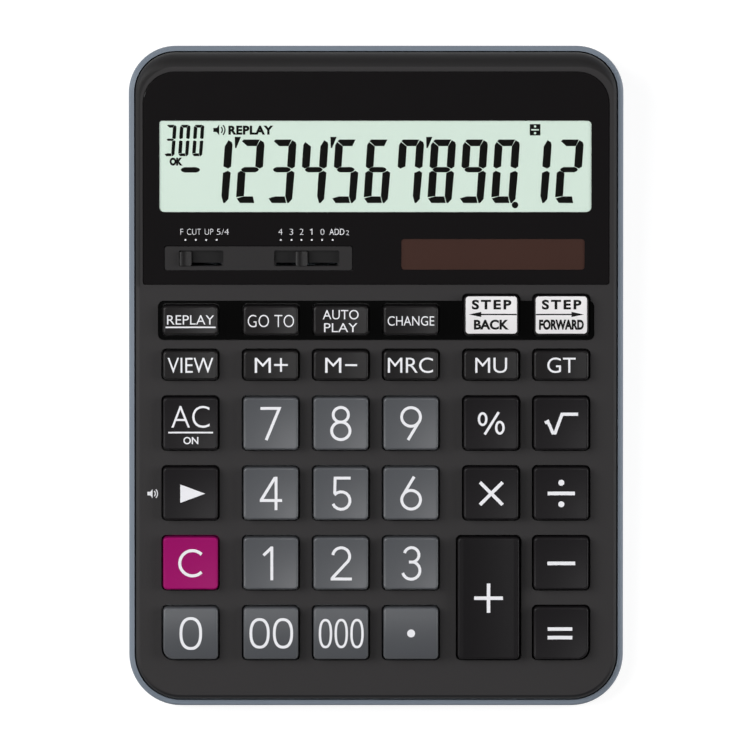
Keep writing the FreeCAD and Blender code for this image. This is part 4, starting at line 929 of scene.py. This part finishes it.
FLOOR_RADIUS = 30.0
FLOOR_SIDES = 96
BACKDROP_HEIGHT = 12.0
FLOOR_DROP = 0.1
FLOOR_GLOW = 0.85
bpy.ops.object.select_all(action="DESELECT")
bpy.ops.mesh.primitive_circle_add(
    vertices=FLOOR_SIDES, radius=FLOOR_RADIUS, fill_type="NGON", location=(0, 0, -FLOOR_DROP * MM))
floor = bpy.context.object
floor.name = "floor"
bpy.ops.object.mode_set(mode="EDIT")
select_edges(floor, lambda place: True)
bpy.ops.mesh.extrude_edges_move(TRANSFORM_OT_translate={"value": (0, 0, BACKDROP_HEIGHT)})
bpy.ops.object.mode_set(mode="OBJECT")
# White paper sweep: matt, and white to the eye and in reflections.
paper = bpy.data.materials.new("white_paper_sweep")
paper.use_nodes = True
tree = paper.node_tree
shader = tree.nodes["Principled BSDF"]
shader.inputs["Base Color"].default_value = linear("#8C8C8C")
shader.inputs["Roughness"].default_value = 0.9
shader.inputs["Emission Color"].default_value = linear("#FFFFFF")
path = add_node(tree, "ShaderNodeLightPath")
seen = reckon(tree, "MAXIMUM", path.outputs["Is Camera Ray"], path.outputs["Is Glossy Ray"])
seen = reckon(tree, "MAXIMUM", seen, path.outputs["Is Transmission Ray"])
tree.links.new(reckon(tree, "MULTIPLY", seen, FLOOR_GLOW), shader.inputs["Emission Strength"])
floor.data.materials.append(paper)

WORLD_LIGHT = 0.08
scene = bpy.context.scene
world = bpy.data.worlds.new("studio")
world.use_nodes = True
background = world.node_tree.nodes["Background"]
background.inputs["Color"].default_value = linear("#FFFFFF")
background.inputs["Strength"].default_value = WORLD_LIGHT
scene.world = world

LAMP_TARGET = Vector((0.0, 0.0, 0.02))


def soft_box(name, place, size, power):
    """A square lamp that faces the middle of the object."""
    bpy.ops.object.light_add(type="AREA", location=place)
    light = bpy.context.object
    light.name = name
    light.data.shape = "SQUARE"
    light.data.size = size
    light.data.energy = power
    light.rotation_euler = (LAMP_TARGET - Vector(place)).to_track_quat("-Z", "Y").to_euler()


soft_box("soft_box_left", (-1.7, 0.55, 1.55), 1.65, 47.0)
soft_box("soft_box_top", (-0.35, 0.0, 1.3), 0.3, 4.7)
soft_box("soft_box_right", (1.5, 0.1, 0.8), 0.9, 18.5)

# The camera looks straight down from far away, at a frame VIEW_WIDTH wide at the middle of the keys.
VIEW_WIDTH = 212.55
VIEW_MIDDLE = Vector((-0.31, 0.21, 20.0))
VIEW_DISTANCE = 8.0
VIEW_REACH = 200.0
SENSOR = 36.0
bpy.ops.object.camera_add(location=VIEW_MIDDLE * MM + Vector((0.0, 0.0, VIEW_DISTANCE)))
camera = bpy.context.object
camera.rotation_euler = (0.0, 0.0, 0.0)
camera.data.type = "PERSP"
camera.data.sensor_width = SENSOR
camera.data.lens = SENSOR * VIEW_DISTANCE / (VIEW_WIDTH * MM)
camera.data.clip_end = VIEW_REACH
scene.camera = camera
scene.view_settings.view_transform = "Standard"
